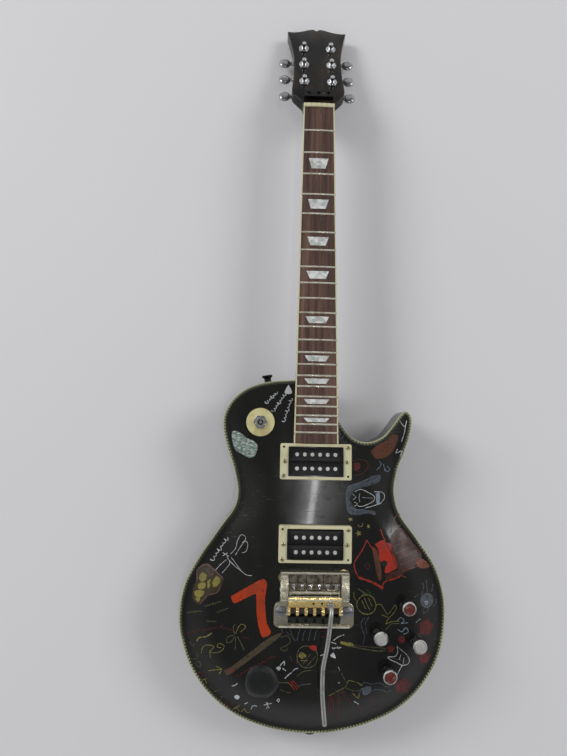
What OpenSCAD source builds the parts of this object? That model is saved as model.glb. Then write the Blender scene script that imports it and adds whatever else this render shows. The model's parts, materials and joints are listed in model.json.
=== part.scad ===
// Solid-body electric guitar with a carved top, a set neck and a flat-mount cam vibrato.
// It lies on its back, front face up, head towards +Y. Lengths are in millimetres.

/* [Body] */
// Width of the body across its lower bout
body_w = 332; // [280:1:396]
// Length of the body from shoulder to tail
body_l = 433; // [400:1:520]
// Thickness of the body at its edge
edge_t = 50; // [44:1:60]
// Thickness of the back slab below the carved cap
slab_t = 40; // [34:1:43]
// Height of the flat centre of the top above the edge
carve_rise = 12; // [10:0.5:14]
// Distance over which the top rises from its edge to the flat centre
carve_w = 38; // [30:1:45]
// Rounding of the back edge
back_round = 4; // [1:0.5:6]
// Width of the purfling strip let into the top edge
binding_w = 4.5; // [3:0.5:6]
// Depth of the purfling strip
binding_h = 4; // [3:0.5:5]

/* [Neck] */
// Scale length, from the nut to the theoretical bridge line
scale_length = 628.65; // [524:0.05:755]
// Number of frets
fret_count = 22; // [20:1:22]
// Width of the fretboard at the nut
nut_w = 43; // [40:0.5:46]
// Width of the fretboard at its body end
board_end_w = 56.5; // [54:0.5:60]
// Thickness of the fretboard
board_t = 6; // [5:0.5:7]
// Length of the fretboard past the last fret
board_tail = 13.7; // [8:0.1:16]
// Radius of the fretboard's crowned face
board_r = 305; // [180:5:400]
// Width of each edge strip of the fretboard
edge_strip_w = 1.6; // [1:0.1:2]
// Depth of the neck wood below the fretboard at the first fret
neck_depth = 15; // [13:0.5:18]
// Depth of the neck wood below the fretboard at the heel
heel_depth = 18; // [16:0.5:21]
// Angle at which the neck leans back from the body
neck_angle = 4; // [2:0.5:5]
// Width of the neck's tenon
tenon_w = 38; // [30:0.5:42]

/* [Headstock] */
// Angle at which the headstock leans back from the neck
head_angle = 17; // [12:0.5:18]
// Length of the headstock face
head_l = 165; // [150:1:190]
// Thickness of the headstock
head_t = 15; // [13:0.5:17]
// Thickness of the nut along the neck
nut_t = 5; // [4:0.5:6]
// Distance between tuners along the headstock
tuner_pitch = 36.5; // [34:0.5:40]
// Distance from the nut to the first pair of tuners
tuner_start = 50.5; // [46:0.5:56]
// Distance between the two rows of tuners
tuner_row = 40; // [38:0.5:46]
// Radius of a tuner's string post
post_r = 3.1; // [2.8:0.05:3.4]
// Height of a string post above the headstock face
post_h = 9.5; // [8:0.5:12]

/* [Pickups] */
// Length of a pickup's mounting ring across the body
ring_w = 90; // [88:0.5:96]
// Width of a pickup's mounting ring along the body
ring_l = 45; // [44:0.5:48]
// Distance between neighbouring pole pieces
pole_pitch = 9.6; // [9:0.1:10.4]
// Length of a coil bobbin
bobbin_w = 68; // [60:0.5:70]
// Width of a coil bobbin
bobbin_l = 18; // [16:0.25:18.5]

/* [Vibrato] */
// Width of the vibrato's frame between its outer walls
frame_w = 84; // [80:0.5:90]
// Distance between the two mounting studs
stud_span = 82; // [80:0.5:86]
// Length of the frame along the body
frame_l = 67; // [62:0.5:74]
// Height of the frame's side walls
frame_h = 13; // [11:0.5:15]
// Radius of the cam's barrel
cam_r = 5.8; // [5.2:0.1:6]
// Radius of the vibrato arm
arm_r = 2.7; // [2.4:0.1:3]

/* [Controls] */
// Radius of a control knob
knob_r = 8.8; // [8:0.1:10]
// Height of a control knob
knob_h = 19; // [16:0.5:22]
// Radius of a control's turning shaft
shaft_r = 3; // [2.8:0.05:3.2]
// Radius of the selector switch's top ring
switch_ring_r = 18; // [15:0.5:20]
// Radius of the jack plug that the output socket takes
jack_r = 3.2; // [3:0.05:3.4]

/* [Hidden] */

$fn = 48;
eps = 0.01;             // overshoot of a cut past the face that it opens
run = 0.06;             // radial clearance of a shaft in its bearing
gap = 0.3;              // clearance between parts that pass each other
seat = 0.1;             // clearance of a part dropped into its recess

// ---- where things lie ----
function fret_d(n) = scale_length * (1 - pow(2, -n / 12));
joint_d = fret_d(16);                    // nut to the neck joint
joint_z = edge_t + board_t + 1;          // fretboard face at the neck joint
shoulder_y = -joint_d - 5.8;
board_l = fret_d(fret_count) + board_tail;
top_z = edge_t + carve_rise;             // flat centre of the top
tail_y = shoulder_y - body_l;
sx = body_w / 332;
sy = body_l / 433;
function on_body(p) = [p[0] * sx, shoulder_y + p[1] * sy];

// board, neck and headstock places in the guitar's upright plane, as [y, z]
function head_to_neck(s, z) = [nut_t + s * cos(head_angle) + z * sin(head_angle),
                               -board_t - s * sin(head_angle) + z * cos(head_angle)];
function neck_to_body(p) = [-joint_d + (p[0] + joint_d) * cos(neck_angle) + p[1] * sin(neck_angle),
                            joint_z - (p[0] + joint_d) * sin(neck_angle) + p[1] * cos(neck_angle)];

// ---- tuners ----
housing = [17, 22, 11];                  // across, along and deep
housing_wall = 2;
worm_r = 2.4;
gear_r = 4.6;
worm_off = gear_r + worm_r + gap;        // post axis to worm axis
worm_z = -head_t - 5;
button_r = 9;
button_t = 7;
button_x = 27.5;                         // post axis to the middle of the button
tuner_side = [-1, -1, -1, 1, 1, 1];
function tuner_s(k) = tuner_start + tuner_pitch * (k < 3 ? 2 - k : 5 - k);

// ---- lying on its back ----
crest = head_l + 6;                      // top of the headstock's crest
tip_back = neck_to_body(head_to_neck(crest, -head_t));
housing_back = neck_to_body(head_to_neck(tuner_s(0) + (housing[1] - worm_off) / 2, -head_t - housing[2]));
tail_foot = tail_y + back_round;
function lean(p) = atan(-p[1] / (p[0] - tail_foot));
rest_tilt = max(lean(tip_back), lean(housing_back));
strap_l = 11;
strap_r = 7;
strap_neck_r = 4.5;
crest_front = neck_to_body(head_to_neck(crest, 0));
far_y = crest_front[0] * cos(rest_tilt) - crest_front[1] * sin(rest_tilt);
near_y = (tail_y - strap_l) * cos(rest_tilt) - (edge_t / 2 + strap_r) * sin(rest_tilt);
module lie() translate([0, -(far_y + near_y) / 2, -tail_foot * sin(rest_tilt)])
  rotate([rest_tilt, 0, 0]) children();
module on_neck() translate([0, -joint_d, joint_z]) rotate([-neck_angle, 0, 0])
  translate([0, joint_d, 0]) children();
module on_head() on_neck() translate([0, nut_t, -board_t]) rotate([-head_angle, 0, 0]) children();

// ---- outline of the body, from the treble side of the neck round to its bass side ----
outline_points = [
  [29, -49], [38, -63], [52, -75], [70, -78], [87, -71], [98.5, -58.5], [108.5, -44], [116, -37.5],
  [123, -42], [124.5, -53], [121.5, -70], [114.5, -91], [106, -114], [102, -140], [109, -168], [130, -197],
  [151, -227], [163, -260], [166, -295], [160, -334], [143, -369], [112, -401], [70, -422],
  [20, -433], [-30, -432], [-80, -419], [-120, -394], [-148, -360], [-163, -320],
  [-166, -290], [-160, -256], [-144, -225], [-120, -189], [-102, -163], [-98, -142],
  [-103, -116], [-112, -89], [-118, -65], [-117, -45], [-105, -24], [-83, -9], [-56, -2],
  [-28, 0]];
spline_steps = 3;
function blend4(a, b, c, d, t) = 0.5 * (2 * b + (c - a) * t + (2 * a - 5 * b + 4 * c - d) * t * t
                                        + (3 * b - a - 3 * c + d) * t * t * t);
last_point = len(outline_points) - 1;
function control(i) = outline_points[max(0, min(last_point, i))];
outline = concat(
  [for (i = [0:last_point - 1], j = [0:spline_steps - 1])
    blend4(control(i - 1), control(i), control(i + 1), control(i + 2), j / spline_steps)],
  [control(last_point), [27, 0]]);
count = len(outline);
function unit(v) = v / norm(v);
function inward(i) = let (t = unit(outline[(i + 1) % count] - outline[(i + count - 1) % count]))
  [t[1], -t[0]];
// The flat centre's edge: a fixed way in from the rim, and well back from the horn
horn_root = [55, -140];
horn_root_r = 9;
function spine(p) = [0, max(-305, min(-115, p[1]))];
function flat_edge(p) = p[0] > 40 && p[1] > horn_root[1] ? horn_root + horn_root_r * unit(p - horn_root)
  : p + carve_w * unit(spine(p) - p);
function ring_at(inset, z) = [for (i = [0:count - 1])
  let (q = on_body(outline[i] + inset * inward(i))) [q[0], q[1], z]];
function carve_ring(t) = [for (i = [0:count - 1])
  let (p = outline[i] + binding_w * inward(i), q = on_body(p + (flat_edge(p) - p) * t))
  [q[0], q[1], edge_t + carve_rise * t * t * (3 - 2 * t)]];

function flat_ring(z) = [for (i = [0:count - 1])
  let (p = outline[i] + binding_w * inward(i), q = on_body(flat_edge(p))) [q[0], q[1], z]];

// Rings joined into a skin, each end closed by a fan round its own middle point
module stack(rings, first, last) {
  n = len(rings[0]);
  m = len(rings);
  polyhedron(concat([for (r = rings) each r], [first, last]), concat(
    [for (i = [0:n - 1]) [(i + 1) % n, i, m * n]],
    [for (k = [0:m - 2], i = [0:n - 1]) let (j = (i + 1) % n)
      each [[k * n + i, k * n + j, k * n + n + j], [k * n + i, k * n + n + j, k * n + n + i]]],
    [for (i = [0:n - 1]) [(m - 1) * n + i, (m - 1) * n + (i + 1) % n, m * n + 1]]));
}
// Rings joined into a closed hoop
module hoop(rings) {
  n = len(rings[0]);
  m = len(rings);
  polyhedron([for (r = rings) each r],
    [for (k = [0:m - 1], i = [0:n - 1]) let (j = (i + 1) % n, up = (k + 1) % m)
      each [[k * n + i, k * n + j, up * n + j], [k * n + i, up * n + j, up * n + i]]]);
}
function body_middle(z) = let (q = on_body([0, -150])) [q[0], q[1], z];
module body_stack(rings, z0, z1) stack(concat([flat_ring(z0)], rings, [flat_ring(z1)]),
  body_middle(z0), body_middle(z1));

// Outline with rounded corners round the given points, which run anticlockwise
function heading(v) = atan2(v[1], v[0]);
function turn(a) = a < 0 ? a + 360 : a;
function rounded(points, r) = let (n = len(points)) [for (i = [0:n - 1])
  let (a = heading(points[i] - points[(i + n - 1) % n]) - 90,
       sweep = turn(heading(points[(i + 1) % n] - points[i]) - 90 - a))
  for (k = [0:6]) points[i] + r * [cos(a + sweep * k / 6), sin(a + sweep * k / 6)]];
module tube(outer, inner, h) difference() {
  cylinder(r = outer, h = h);
  translate([0, 0, -eps]) cylinder(r = inner, h = h + 2 * eps);
}
module block(w, l, h) translate([-w / 2, -l / 2, 0]) cube([w, l, h]);

// ---- hardware places ----
neck_pickup_d = board_l + ring_l / 2 + gap;
bridge_pickup_y = -scale_length + 39.5;
pickup_row = 17.5;                       // between the two rows of poles
ring_t = [5, 9];                         // thickness of the two mounting rings
bobbin_h = 15;
ear = [16, 14];                          // extra width, and length, of a baseplate's ears
pickup_rise = 2.5;                       // bobbins stand above their ring
base_t = 1.2;
pole_r = 2.4;
ring_screw = [ring_w / 2 - 4.5, ring_l / 2 - 4.5];
cavity = [bobbin_w + 6, 2 * bobbin_l + 5, 24];
stud_y = -scale_length - 41;
stud_r = 4;
frame_y = -scale_length - 27;            // middle of the frame
post_spots = [[-37, -scale_length - 2], [37, -scale_length + 1.5]];
control_spots = [for (p = [[114, -277], [80, -312], [127, -321], [91, -356]]) on_body(p)];
control_floor = 52;
cavity_r = 17;
cover_t = 2;
cover_lip = 5;                           // overlap of a cover round its cavity
cover_quad = [for (i = [0, 1, 3, 2]) control_spots[i]];
switch_spot = on_body([-71, -55]);
switch_cavity_r = 24;
switch_cap = 6;                          // wood left over the switch, below the rim of the top
strap_shoulder = on_body([-62, -3.4]);
strap_z = edge_t / 2;
jack_spot = on_body([140.5, -372.6]);
jack_turn = -41;
jack_z = 22;
jack_plate_w = 34;
jack_screws = [for (x = [-1, 1], y = [-1, 1]) 13.5 * [x, y]];
jack_seat = 2;                           // depth of the flat that seats the jack plate
switch_hole_r = 6;
switch_ring_t = 1.2;
channel = [12, 8];                       // width and depth of the wire channel
channel_turn = atan2(control_spots[1][1] - switch_spot[1], control_spots[1][0] - switch_spot[0]);
channel_l = norm(control_spots[1] - switch_spot);
pot_bush_r = 4.7;
screw_r = 1.4;

module at_neck_pickup() on_neck() translate([0, -neck_pickup_d, -board_t]) children();
module at_switch() on_neck() translate([switch_spot[0], switch_spot[1], -board_t]) children();
module at_bridge_pickup() translate([0, bridge_pickup_y, top_z]) children();
module at_jack() translate([jack_spot[0], jack_spot[1], jack_z]) rotate([0, 0, jack_turn])
  rotate([0, 90, 0]) children();
module at_shoulder_button() translate([strap_shoulder[0], strap_shoulder[1], strap_z])
  rotate([0, 0, 9]) rotate([-90, 0, 0]) children();
module at_tail_button() translate([0, tail_y, strap_z]) rotate([90, 0, 0]) children();
module neck_pocket() on_neck()
  translate([-tenon_w / 2, -board_l + 4, -board_t - tenon_depth]) cube([tenon_w, 140, tenon_depth + 20]);

// ======================= body =======================
module pickup_cavity() translate([0, 0, -cavity[2]]) {
  block(cavity[0], cavity[1], cavity[2] + 10);
  block(bobbin_w + ear[0] + 2, ear[1] + 2, cavity[2] + 10);
}
module cavities() {
  at_neck_pickup() pickup_cavity();
  at_bridge_pickup() pickup_cavity();
  translate([0, 0, cover_t]) linear_extrude(control_floor - cover_t) polygon(rounded(cover_quad, cavity_r));
  translate([switch_spot[0], switch_spot[1], -eps])
    cylinder(r = switch_cavity_r, h = edge_t - switch_cap);
  // seats on and under the top
  for (p = control_spots) translate([p[0], p[1], control_floor - 1]) cylinder(r = pot_bush_r + seat, h = 30);
  at_switch() translate([0, 0, -15]) cylinder(r = switch_hole_r + seat, h = 40);
  for (s = [-1, 1]) translate([s * stud_span / 2, stud_y, top_z - 26]) cylinder(r = stud_r, h = 40);
  for (p = post_spots) {
    translate([p[0], p[1], top_z - 19]) cylinder(r = 5.5, h = 30);
    translate([p[0], p[1], top_z - 1]) cylinder(r = 7.4, h = 30);
  }
  neck_pocket();
}

module strap_seat() {
  translate([0, 0, -30]) cylinder(r = 2.2, h = 40);
  cylinder(r = 7, h = 20);
}
// what is sunk into the side, through slab and top alike
module edge_seats() {
  at_jack() {
    translate([0, 0, -35]) cylinder(r = 10, h = 60);
    translate([0, 0, -jack_seat]) block(jack_plate_w + 2 * seat, jack_plate_w + 2 * seat, 20);
    for (p = jack_screws) translate([p[0], p[1], -11]) cylinder(r = screw_r, h = 20);
  }
  at_shoulder_button() strap_seat();
  at_tail_button() strap_seat();
}
module body_back() color([0.06, 0.05, 0.05]) difference() {
  body_stack([ring_at(back_round, 0), ring_at(back_round * 0.29, back_round * 0.29),
              ring_at(0, back_round), ring_at(0, slab_t)], 0, slab_t);
  cavities();
  translate([0, 0, -eps]) linear_extrude(cover_t + 2 * eps)
    polygon(rounded(cover_quad, cavity_r + cover_lip));
  translate([switch_spot[0], switch_spot[1], -eps])
    cylinder(r = switch_cavity_r + cover_lip, h = cover_t + eps);
  // wire channel from the switch, past the bridge pickup, to the controls
  translate([switch_spot[0], switch_spot[1], slab_t - channel[1]]) rotate([0, 0, channel_turn])
    translate([0, -channel[0] / 2, 0]) cube([channel_l, channel[0], channel[1] + 1]);
  edge_seats();
  for (p = cover_screw_spots) translate([p[0], p[1], -1]) cylinder(r = screw_r, h = 13);
}

module body_top() color([0.07, 0.05, 0.05]) difference() {
  body_stack(concat([ring_at(0, slab_t), ring_at(0, edge_t - binding_h),
                     ring_at(binding_w, edge_t - binding_h)],
                    [for (t = [0, 0.16, 0.34, 0.52, 0.74]) carve_ring(t)]), slab_t, top_z);
  cavities();
  edge_seats();
  on_neck() translate([-200, -joint_d - 175, -board_t]) cube([400, 300, 60]);
  for (spot = ring_screw_spots(1)) at_neck_pickup()
    translate([spot[0], spot[1], -7]) cylinder(r = screw_r, h = 20);
  for (spot = ring_screw_spots(1)) at_bridge_pickup()
    translate([spot[0], spot[1], -7]) cylinder(r = screw_r, h = 20);
}

module body_binding() color([0.85, 0.84, 0.66]) difference() {
  hoop([ring_at(0, edge_t - binding_h), ring_at(0, edge_t - 1), ring_at(1, edge_t),
        ring_at(binding_w, edge_t), ring_at(binding_w, edge_t - binding_h)]);
  neck_pocket();
}

// ======================= neck =======================
function board_half(d) = (nut_w + (board_end_w - nut_w) * d / board_l) / 2;
// Section of the neck wood: flat on top, rounded below, and fuller where power is smaller
function soft(v, power) = sign(v) * pow(abs(v), power);
function neck_ring(y, half, depth, power) = [for (a = [360:-10:180])
  [half * soft(cos(a), power), y, -board_t + depth * soft(sin(a), power)]];
// The same on the body's upright shoulder face
function heel_ring(half, depth, power) = [for (p = neck_ring(0, half, depth, power))
  [p[0], -joint_d + (shoulder_y + joint_d - p[2] * sin(neck_angle)) / cos(neck_angle), p[2]]];
neck_throat = 4;
heel_run = [[46, 1, 0.8], [30, 1.12, 0.72], [16, 1.45, 0.62], [5, 2.05, 0.55]];
heel_full = 2.3;
module neck_shaft() {
  rings = concat(
    [neck_ring(neck_throat, nut_w / 2 - 0.3, neck_depth - 1.5, 0.85),
     neck_ring(-20, board_half(20), neck_depth, 0.85)],
    [for (r = heel_run) neck_ring(-joint_d + r[0], board_half(joint_d - r[0]), heel_depth * r[1], r[2])],
    [heel_ring(board_half(joint_d + 5), heel_depth * heel_full, 0.5)]);
  stack(rings, [0, neck_throat, -board_t - 3],
    [0, -joint_d + (shoulder_y + joint_d + (board_t + 3) * sin(neck_angle)) / cos(neck_angle), -board_t - 3]);
}

module headstock_shape() {
  side = [[21.5, 0], [23, 8], [30, 17], [37, 29], [37, 42], [35.5, 60], [34.5, 84], [35, 108],
          [37.5, 128], [41, 148], [44, 162]];
  crown = [[44, head_l - 2], [34, head_l - 2.2], [22, head_l + 0.5], [12, head_l + 4.5],
           [5, crest], [0, crest - 3.5]];
  half = concat([for (p = side) [p[0], p[1] * (head_l - 3) / 162]], crown);
  polygon(concat(half, [for (i = [len(half) - 2:-1:0]) [-half[i][0], half[i][1]]]));
}

tenon_depth = heel_depth + 18;
module neck() color([0.09, 0.05, 0.045]) difference() {
  union() {
    on_neck() neck_shaft();
    on_neck() translate([-tenon_w / 2 + seat, -board_l + 4 + seat, -board_t - tenon_depth + seat])
      cube([tenon_w - 2 * seat, board_l - 4 - joint_d + 12, tenon_depth - seat]);
    on_head() translate([0, 0, -head_t]) linear_extrude(head_t) headstock_shape();
  }
  // channel of the truss rod
  on_neck() translate([-3, -board_l + 40, -board_t - 9]) cube([6, board_l - 40 - 4, 20]);
  for (k = [0:5]) at_tuner(k) translate([0, 0, -head_t - 1]) {
    cylinder(r = 5, h = head_t + 2);
    translate([0, lug_y, 0]) cylinder(r = lug_screw_r, h = lug_screw_l);
  }
}

module truss_rod() color([0.55, 0.55, 0.56]) on_neck() {
  translate([0, -5, -board_t - 5]) rotate([90, 0, 0]) cylinder(r = 2.4, h = board_l - 50);
}

module board_blank(half_cut, d0, d1, depth, rise) intersection() {
  linear_extrude(depth + rise) polygon([[-board_half(d0) + half_cut, -d0], [-board_half(d1) + half_cut, -d1],
    [board_half(d1) - half_cut, -d1], [board_half(d0) - half_cut, -d0]]);
  translate([0, 1, depth + rise - board_r]) rotate([90, 0, 0])
    cylinder(r = board_r, h = 2 + d1 + 10, $fn = 360);
}

inlay_frets = [3, 5, 7, 9, 12, 15, 17, 19, 21];
inlay_t = 1.5;
module inlay_outline(n) {
  far = fret_d(n) - (fret_d(n) - fret_d(n - 1)) * 0.25;
  near = fret_d(n - 1) + (fret_d(n) - fret_d(n - 1)) * 0.27;
  wide = board_half(near) * 0.6;
  polygon([[-wide, -near], [-wide * 0.7, -far], [wide * 0.7, -far], [wide, -near]]);
}
module inlay_prisms() translate([0, 0, -inlay_t - 1.2]) linear_extrude(20)
  for (n = inlay_frets) if (n <= fret_count) inlay_outline(n);

module fretboard() color([0.28, 0.15, 0.11]) on_neck() difference() {
  translate([0, 0, -board_t]) board_blank(edge_strip_w, 0, board_l, board_t, 0);
  inlay_prisms();
}

module fret_inlays() color([0.85, 0.87, 0.84]) on_neck() intersection() {
  inlay_prisms();
  translate([0, 1, -board_r]) rotate([90, 0, 0]) cylinder(r = board_r, h = board_l, $fn = 360);
}

module fretboard_edge_strips() color([0.86, 0.84, 0.7]) on_neck() difference() {
  translate([0, 0, -board_t]) board_blank(0, 0, board_l, board_t, 0);
  translate([0, 0, -board_t - 1]) linear_extrude(board_t + 3) polygon(
    [[-board_half(-1) + edge_strip_w, 1], [-board_half(board_l + 1) + edge_strip_w, -board_l - 1],
     [board_half(board_l + 1) - edge_strip_w, -board_l - 1], [board_half(-1) - edge_strip_w, 1]]);
}

fret_w = 2.4;
fret_h = 1.1;
module frets() color([0.75, 0.74, 0.68]) on_neck() difference() {
  intersection() {
    translate([0, 0, -3]) linear_extrude(6) for (n = [1:fret_count])
      translate([-board_half(fret_d(n)), -fret_d(n) - fret_w / 2])
        square([2 * board_half(fret_d(n)), fret_w]);
    translate([0, 1, -board_r]) rotate([90, 0, 0]) cylinder(r = board_r + fret_h, h = board_l, $fn = 360);
  }
  translate([0, 1, -board_r]) rotate([90, 0, 0]) cylinder(r = board_r, h = board_l + 2, $fn = 360);
}

string_span = 36;
module nut() color([0.87, 0.84, 0.6]) on_neck() difference() {
  intersection() {
    translate([-nut_w / 2, 0, -board_t]) cube([nut_w, nut_t, board_t + 3]);
    translate([0, nut_t + 1, -board_r]) rotate([90, 0, 0])
      cylinder(r = board_r + 2.2, h = nut_t + 2, $fn = 360);
  }
  for (k = [0:5]) translate([-string_span / 2 + k * string_span / 5 - 0.4, -1, 1.2])
    cube([0.8, nut_t + 2, 3]);
}

lock = [41, 13, 6];
lock_s = 20;
lock_screws = [-13.5, 0, 13.5];
module string_lock_bar() color([0.05, 0.05, 0.055]) on_head() difference() {
  translate([0, lock_s, 0]) block(lock[0], lock[1], lock[2]);
  for (x = lock_screws) translate([x, lock_s, -1]) {
    cylinder(r = 1.6, h = 10);
    translate([0, 0, 3.5]) cylinder(r = 2.8, h = 10);
  }
}
module string_lock_screws() color([0.1, 0.1, 0.1]) on_head() for (x = lock_screws)
  translate([x, lock_s, 0]) difference() {
  union() {
    cylinder(r = 1.6, h = 4);
    translate([0, 0, 3.5]) cylinder(r = 2.8, h = 1.5);
  }
  translate([0, 0, 3.8]) cylinder(r = 1.4, h = 3, $fn = 6);
}

// ======================= tuners =======================
module at_tuner(k) on_head() translate([tuner_side[k] * tuner_row / 2, tuner_s(k), 0])
  mirror([tuner_side[k] < 0 ? 1 : 0, 0, 0]) children();

lug_y = -worm_off / 2 - housing[1] / 2 - 2.6;
lug_t = 1;
lug_screw_r = 1.2;
lug_screw_l = 8;
module tuner_housing() difference() {
  union() {
    translate([0, -worm_off / 2, -head_t - housing[2]]) block(housing[0], housing[1], housing[2]);
    translate([0, lug_y, -head_t - lug_t]) cylinder(r = 3.4, h = lug_t);
  }
  translate([0, lug_y, -head_t - 4]) cylinder(r = lug_screw_r + seat, h = 5);
  translate([0, 0, -head_t - housing[2] + housing_wall]) cylinder(r = gear_r + gap, h = housing[2]);
  translate([-housing[0] / 2 + housing_wall, -worm_off, worm_z]) rotate([0, 90, 0])
    cylinder(r = worm_r + run, h = housing[0]);
}
module tuner_housings() color([0.55, 0.56, 0.57]) for (k = [0:5]) at_tuner(k) tuner_housing();

module tuner_bushings() color([0.8, 0.8, 0.83]) for (k = [0:5]) at_tuner(k) {
  translate([0, 0, -head_t + 1]) tube(5, post_r + run, head_t - 1);
  tube(7.2, post_r + run, 1.2);
  translate([0, 0, 1.2]) difference() {
    cylinder(r = 6, h = 2, $fn = 6);
    translate([0, 0, -1]) cylinder(r = post_r + run, h = 4);
  }
}

module tuner_screws() color([0.7, 0.7, 0.72]) for (k = [0:5]) at_tuner(k) {
  translate([0, lug_y, -head_t - lug_t - 1.5]) cylinder(r = 2.4, h = 1.5);
  translate([0, lug_y, -head_t - lug_t - 0.5]) cylinder(r = lug_screw_r, h = lug_screw_l + 0.5);
}

module tuner_post(k) color([0.82, 0.82, 0.85]) at_tuner(k) difference() {
  union() {
    translate([0, 0, -head_t - 6]) cylinder(r = post_r, h = head_t + 6 + post_h);
    translate([0, 0, -head_t - 7]) cylinder(r = gear_r, h = 4);
  }
  translate([-10, 0, post_h - 4]) rotate([0, 90, 0]) cylinder(r = 0.9, h = 20);
}

module tuner_button(k) color([0.6, 0.61, 0.62]) at_tuner(k) translate([0, -worm_off, worm_z]) {
  translate([-housing[0] / 2 + housing_wall + gap, 0, 0]) rotate([0, 90, 0])
    cylinder(r = worm_r, h = button_x + housing[0] / 2 - housing_wall - gap);
  translate([button_x, 0, 0]) rotate_extrude() polygon([[0, -button_t / 2], [button_r - 2, -button_t / 2],
    [button_r, -button_t / 4], [button_r, button_t / 4], [button_r - 2, button_t / 2], [0, button_t / 2]]);
}

// ======================= small body fittings =======================
module strap_button() difference() {
  rotate_extrude() polygon([[0, 0], [6.5, 0], [strap_neck_r, 2.5], [strap_neck_r, strap_l - 4],
    [strap_r, strap_l - 2], [strap_r, strap_l], [0, strap_l]]);
  translate([0, 0, -1]) cylinder(r = 2.2, h = strap_l + 2);
  translate([0, 0, strap_l - 2.5]) cylinder(r = 4, h = 5);
}
module strap_screw() {
  translate([0, 0, -28]) cylinder(r = 2.1, h = 28 + strap_l - 2.5);
  translate([0, 0, strap_l - 2.5]) cylinder(r = 3.8, h = 2);
}
module strap_buttons() color([0.08, 0.08, 0.08]) {
  at_shoulder_button() strap_button();
  at_tail_button() strap_button();
}
module strap_button_screws() color([0.4, 0.4, 0.4]) {
  at_shoulder_button() strap_screw();
  at_tail_button() strap_screw();
}

module bridge_post_bushings() color([0.5, 0.48, 0.36]) for (p = post_spots) translate([p[0], p[1], top_z]) {
  translate([0, 0, -18.9]) tube(5.5, 4, 18);
  translate([0, 0, -1]) tube(7.3, 4, 1);
}

cover_corner = [for (p = cover_quad) p + (cavity_r + 1.6) * unit(p - (cover_quad[0] + cover_quad[1]
  + cover_quad[2] + cover_quad[3]) / 4)];
switch_screws = [for (a = [90, 210, 330]) switch_spot + (switch_cavity_r + 2) * [cos(a), sin(a)]];
cover_screw_spots = concat(cover_corner, switch_screws);

head_r = 2.6;
module screw_seat() translate([0, 0, -1]) {
  cylinder(r = screw_r, h = 5);
  cylinder(r = head_r + seat, h = 2.2);
}
module control_cover() color([0.05, 0.05, 0.05]) difference() {
  linear_extrude(cover_t) polygon(rounded(cover_quad, cavity_r + cover_lip - seat));
  for (p = cover_corner) translate([p[0], p[1], 0]) screw_seat();
}
module switch_cover() color([0.05, 0.05, 0.05]) difference() {
  translate([switch_spot[0], switch_spot[1], 0])
    cylinder(r = switch_cavity_r + cover_lip - seat, h = cover_t);
  for (p = switch_screws) translate([p[0], p[1], 0]) screw_seat();
}
module cover_screws() color([0.6, 0.6, 0.6]) {
  for (p = cover_screw_spots) translate([p[0], p[1], 0.2]) {
    cylinder(r = screw_r, h = 11);
    cylinder(r = head_r, h = 1);
  }
  at_jack() for (p = jack_screws) translate([p[0], p[1], 0]) {
    cylinder(r = 2.4, h = 1);
    translate([0, 0, -10]) cylinder(r = screw_r, h = 10.5);
  }
}

// ======================= pickups =======================
function ring_screw_spots(all) = [for (x = [-1, 1], y = [-1, 1]) if (all || x == y)
  [x * ring_screw[0], y * ring_screw[1]]];
module height_screw_spots() for (x = [-1, 1]) translate([x * (bobbin_w / 2 + 5.2), 0, 0]) children();

module pickup_ring(t) difference() {
  block(ring_w, ring_l, t);
  translate([0, 0, -1]) block(bobbin_w + 1.6, 2 * bobbin_l + 1.4, t + 2);
  for (p = ring_screw_spots(1)) translate([p[0], p[1], -1]) cylinder(r = 1.5, h = t + 2);
  height_screw_spots() translate([0, 0, -1]) cylinder(r = 1.6, h = t + 2);
}
module pickup_rings() color([0.87, 0.84, 0.66]) {
  at_neck_pickup() pickup_ring(ring_t[0]);
  at_bridge_pickup() pickup_ring(ring_t[1]);
}

// the slug row lies on the tail side of the neck pickup and on the neck side of the bridge pickup
module each_pickup() {
  at_neck_pickup() translate([0, 0, ring_t[0] + pickup_rise - bobbin_h]) children();
  at_bridge_pickup() translate([0, 0, ring_t[1] + pickup_rise - bobbin_h]) rotate([0, 0, 180]) children();
}
module pole_row(y) for (k = [0:5]) translate([(k - 2.5) * pole_pitch, y, 0]) children();
module pickup_bobbins() color([0.06, 0.06, 0.065]) each_pickup() for (s = [-1, 1]) difference() {
  translate([0, s * pickup_row / 2, 0]) block(bobbin_w, min(bobbin_l, pickup_row - gap), bobbin_h);
  pole_row(s * pickup_row / 2) translate([0, 0, -1]) cylinder(r = pole_r, h = bobbin_h + 2);
}
module pickup_slugs() color([0.7, 0.68, 0.6]) each_pickup() pole_row(-pickup_row / 2)
  cylinder(r = pole_r, h = bobbin_h + 0.2);
module pickup_pole_screws() color([0.75, 0.72, 0.62]) each_pickup() pole_row(pickup_row / 2) difference() {
  translate([0, 0, -5]) cylinder(r = pole_r, h = bobbin_h + 5.4);
  translate([-3, -0.4, bobbin_h - 0.4]) cube([6, 0.8, 2]);
}
module pickup_baseplates() color([0.62, 0.6, 0.55]) each_pickup() difference() {
  translate([0, 0, -base_t]) union() {
    block(bobbin_w, 2 * bobbin_l, base_t);
    block(bobbin_w + ear[0], ear[1], base_t);
  }
  pole_row(pickup_row / 2) translate([0, 0, -3]) cylinder(r = pole_r, h = 5);
  height_screw_spots() translate([0, 0, -3]) cylinder(r = 1.5, h = 6);
}
module height_screw(t) {
  translate([0, 0, -12]) cylinder(r = 1.5, h = 12 + t);
  translate([0, 0, t]) cylinder(r = 2.6, h = 1.2);
}
module pickup_height_screws() color([0.55, 0.5, 0.36]) {
  at_neck_pickup() height_screw_spots() height_screw(ring_t[0]);
  at_bridge_pickup() height_screw_spots() height_screw(ring_t[1]);
}
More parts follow.
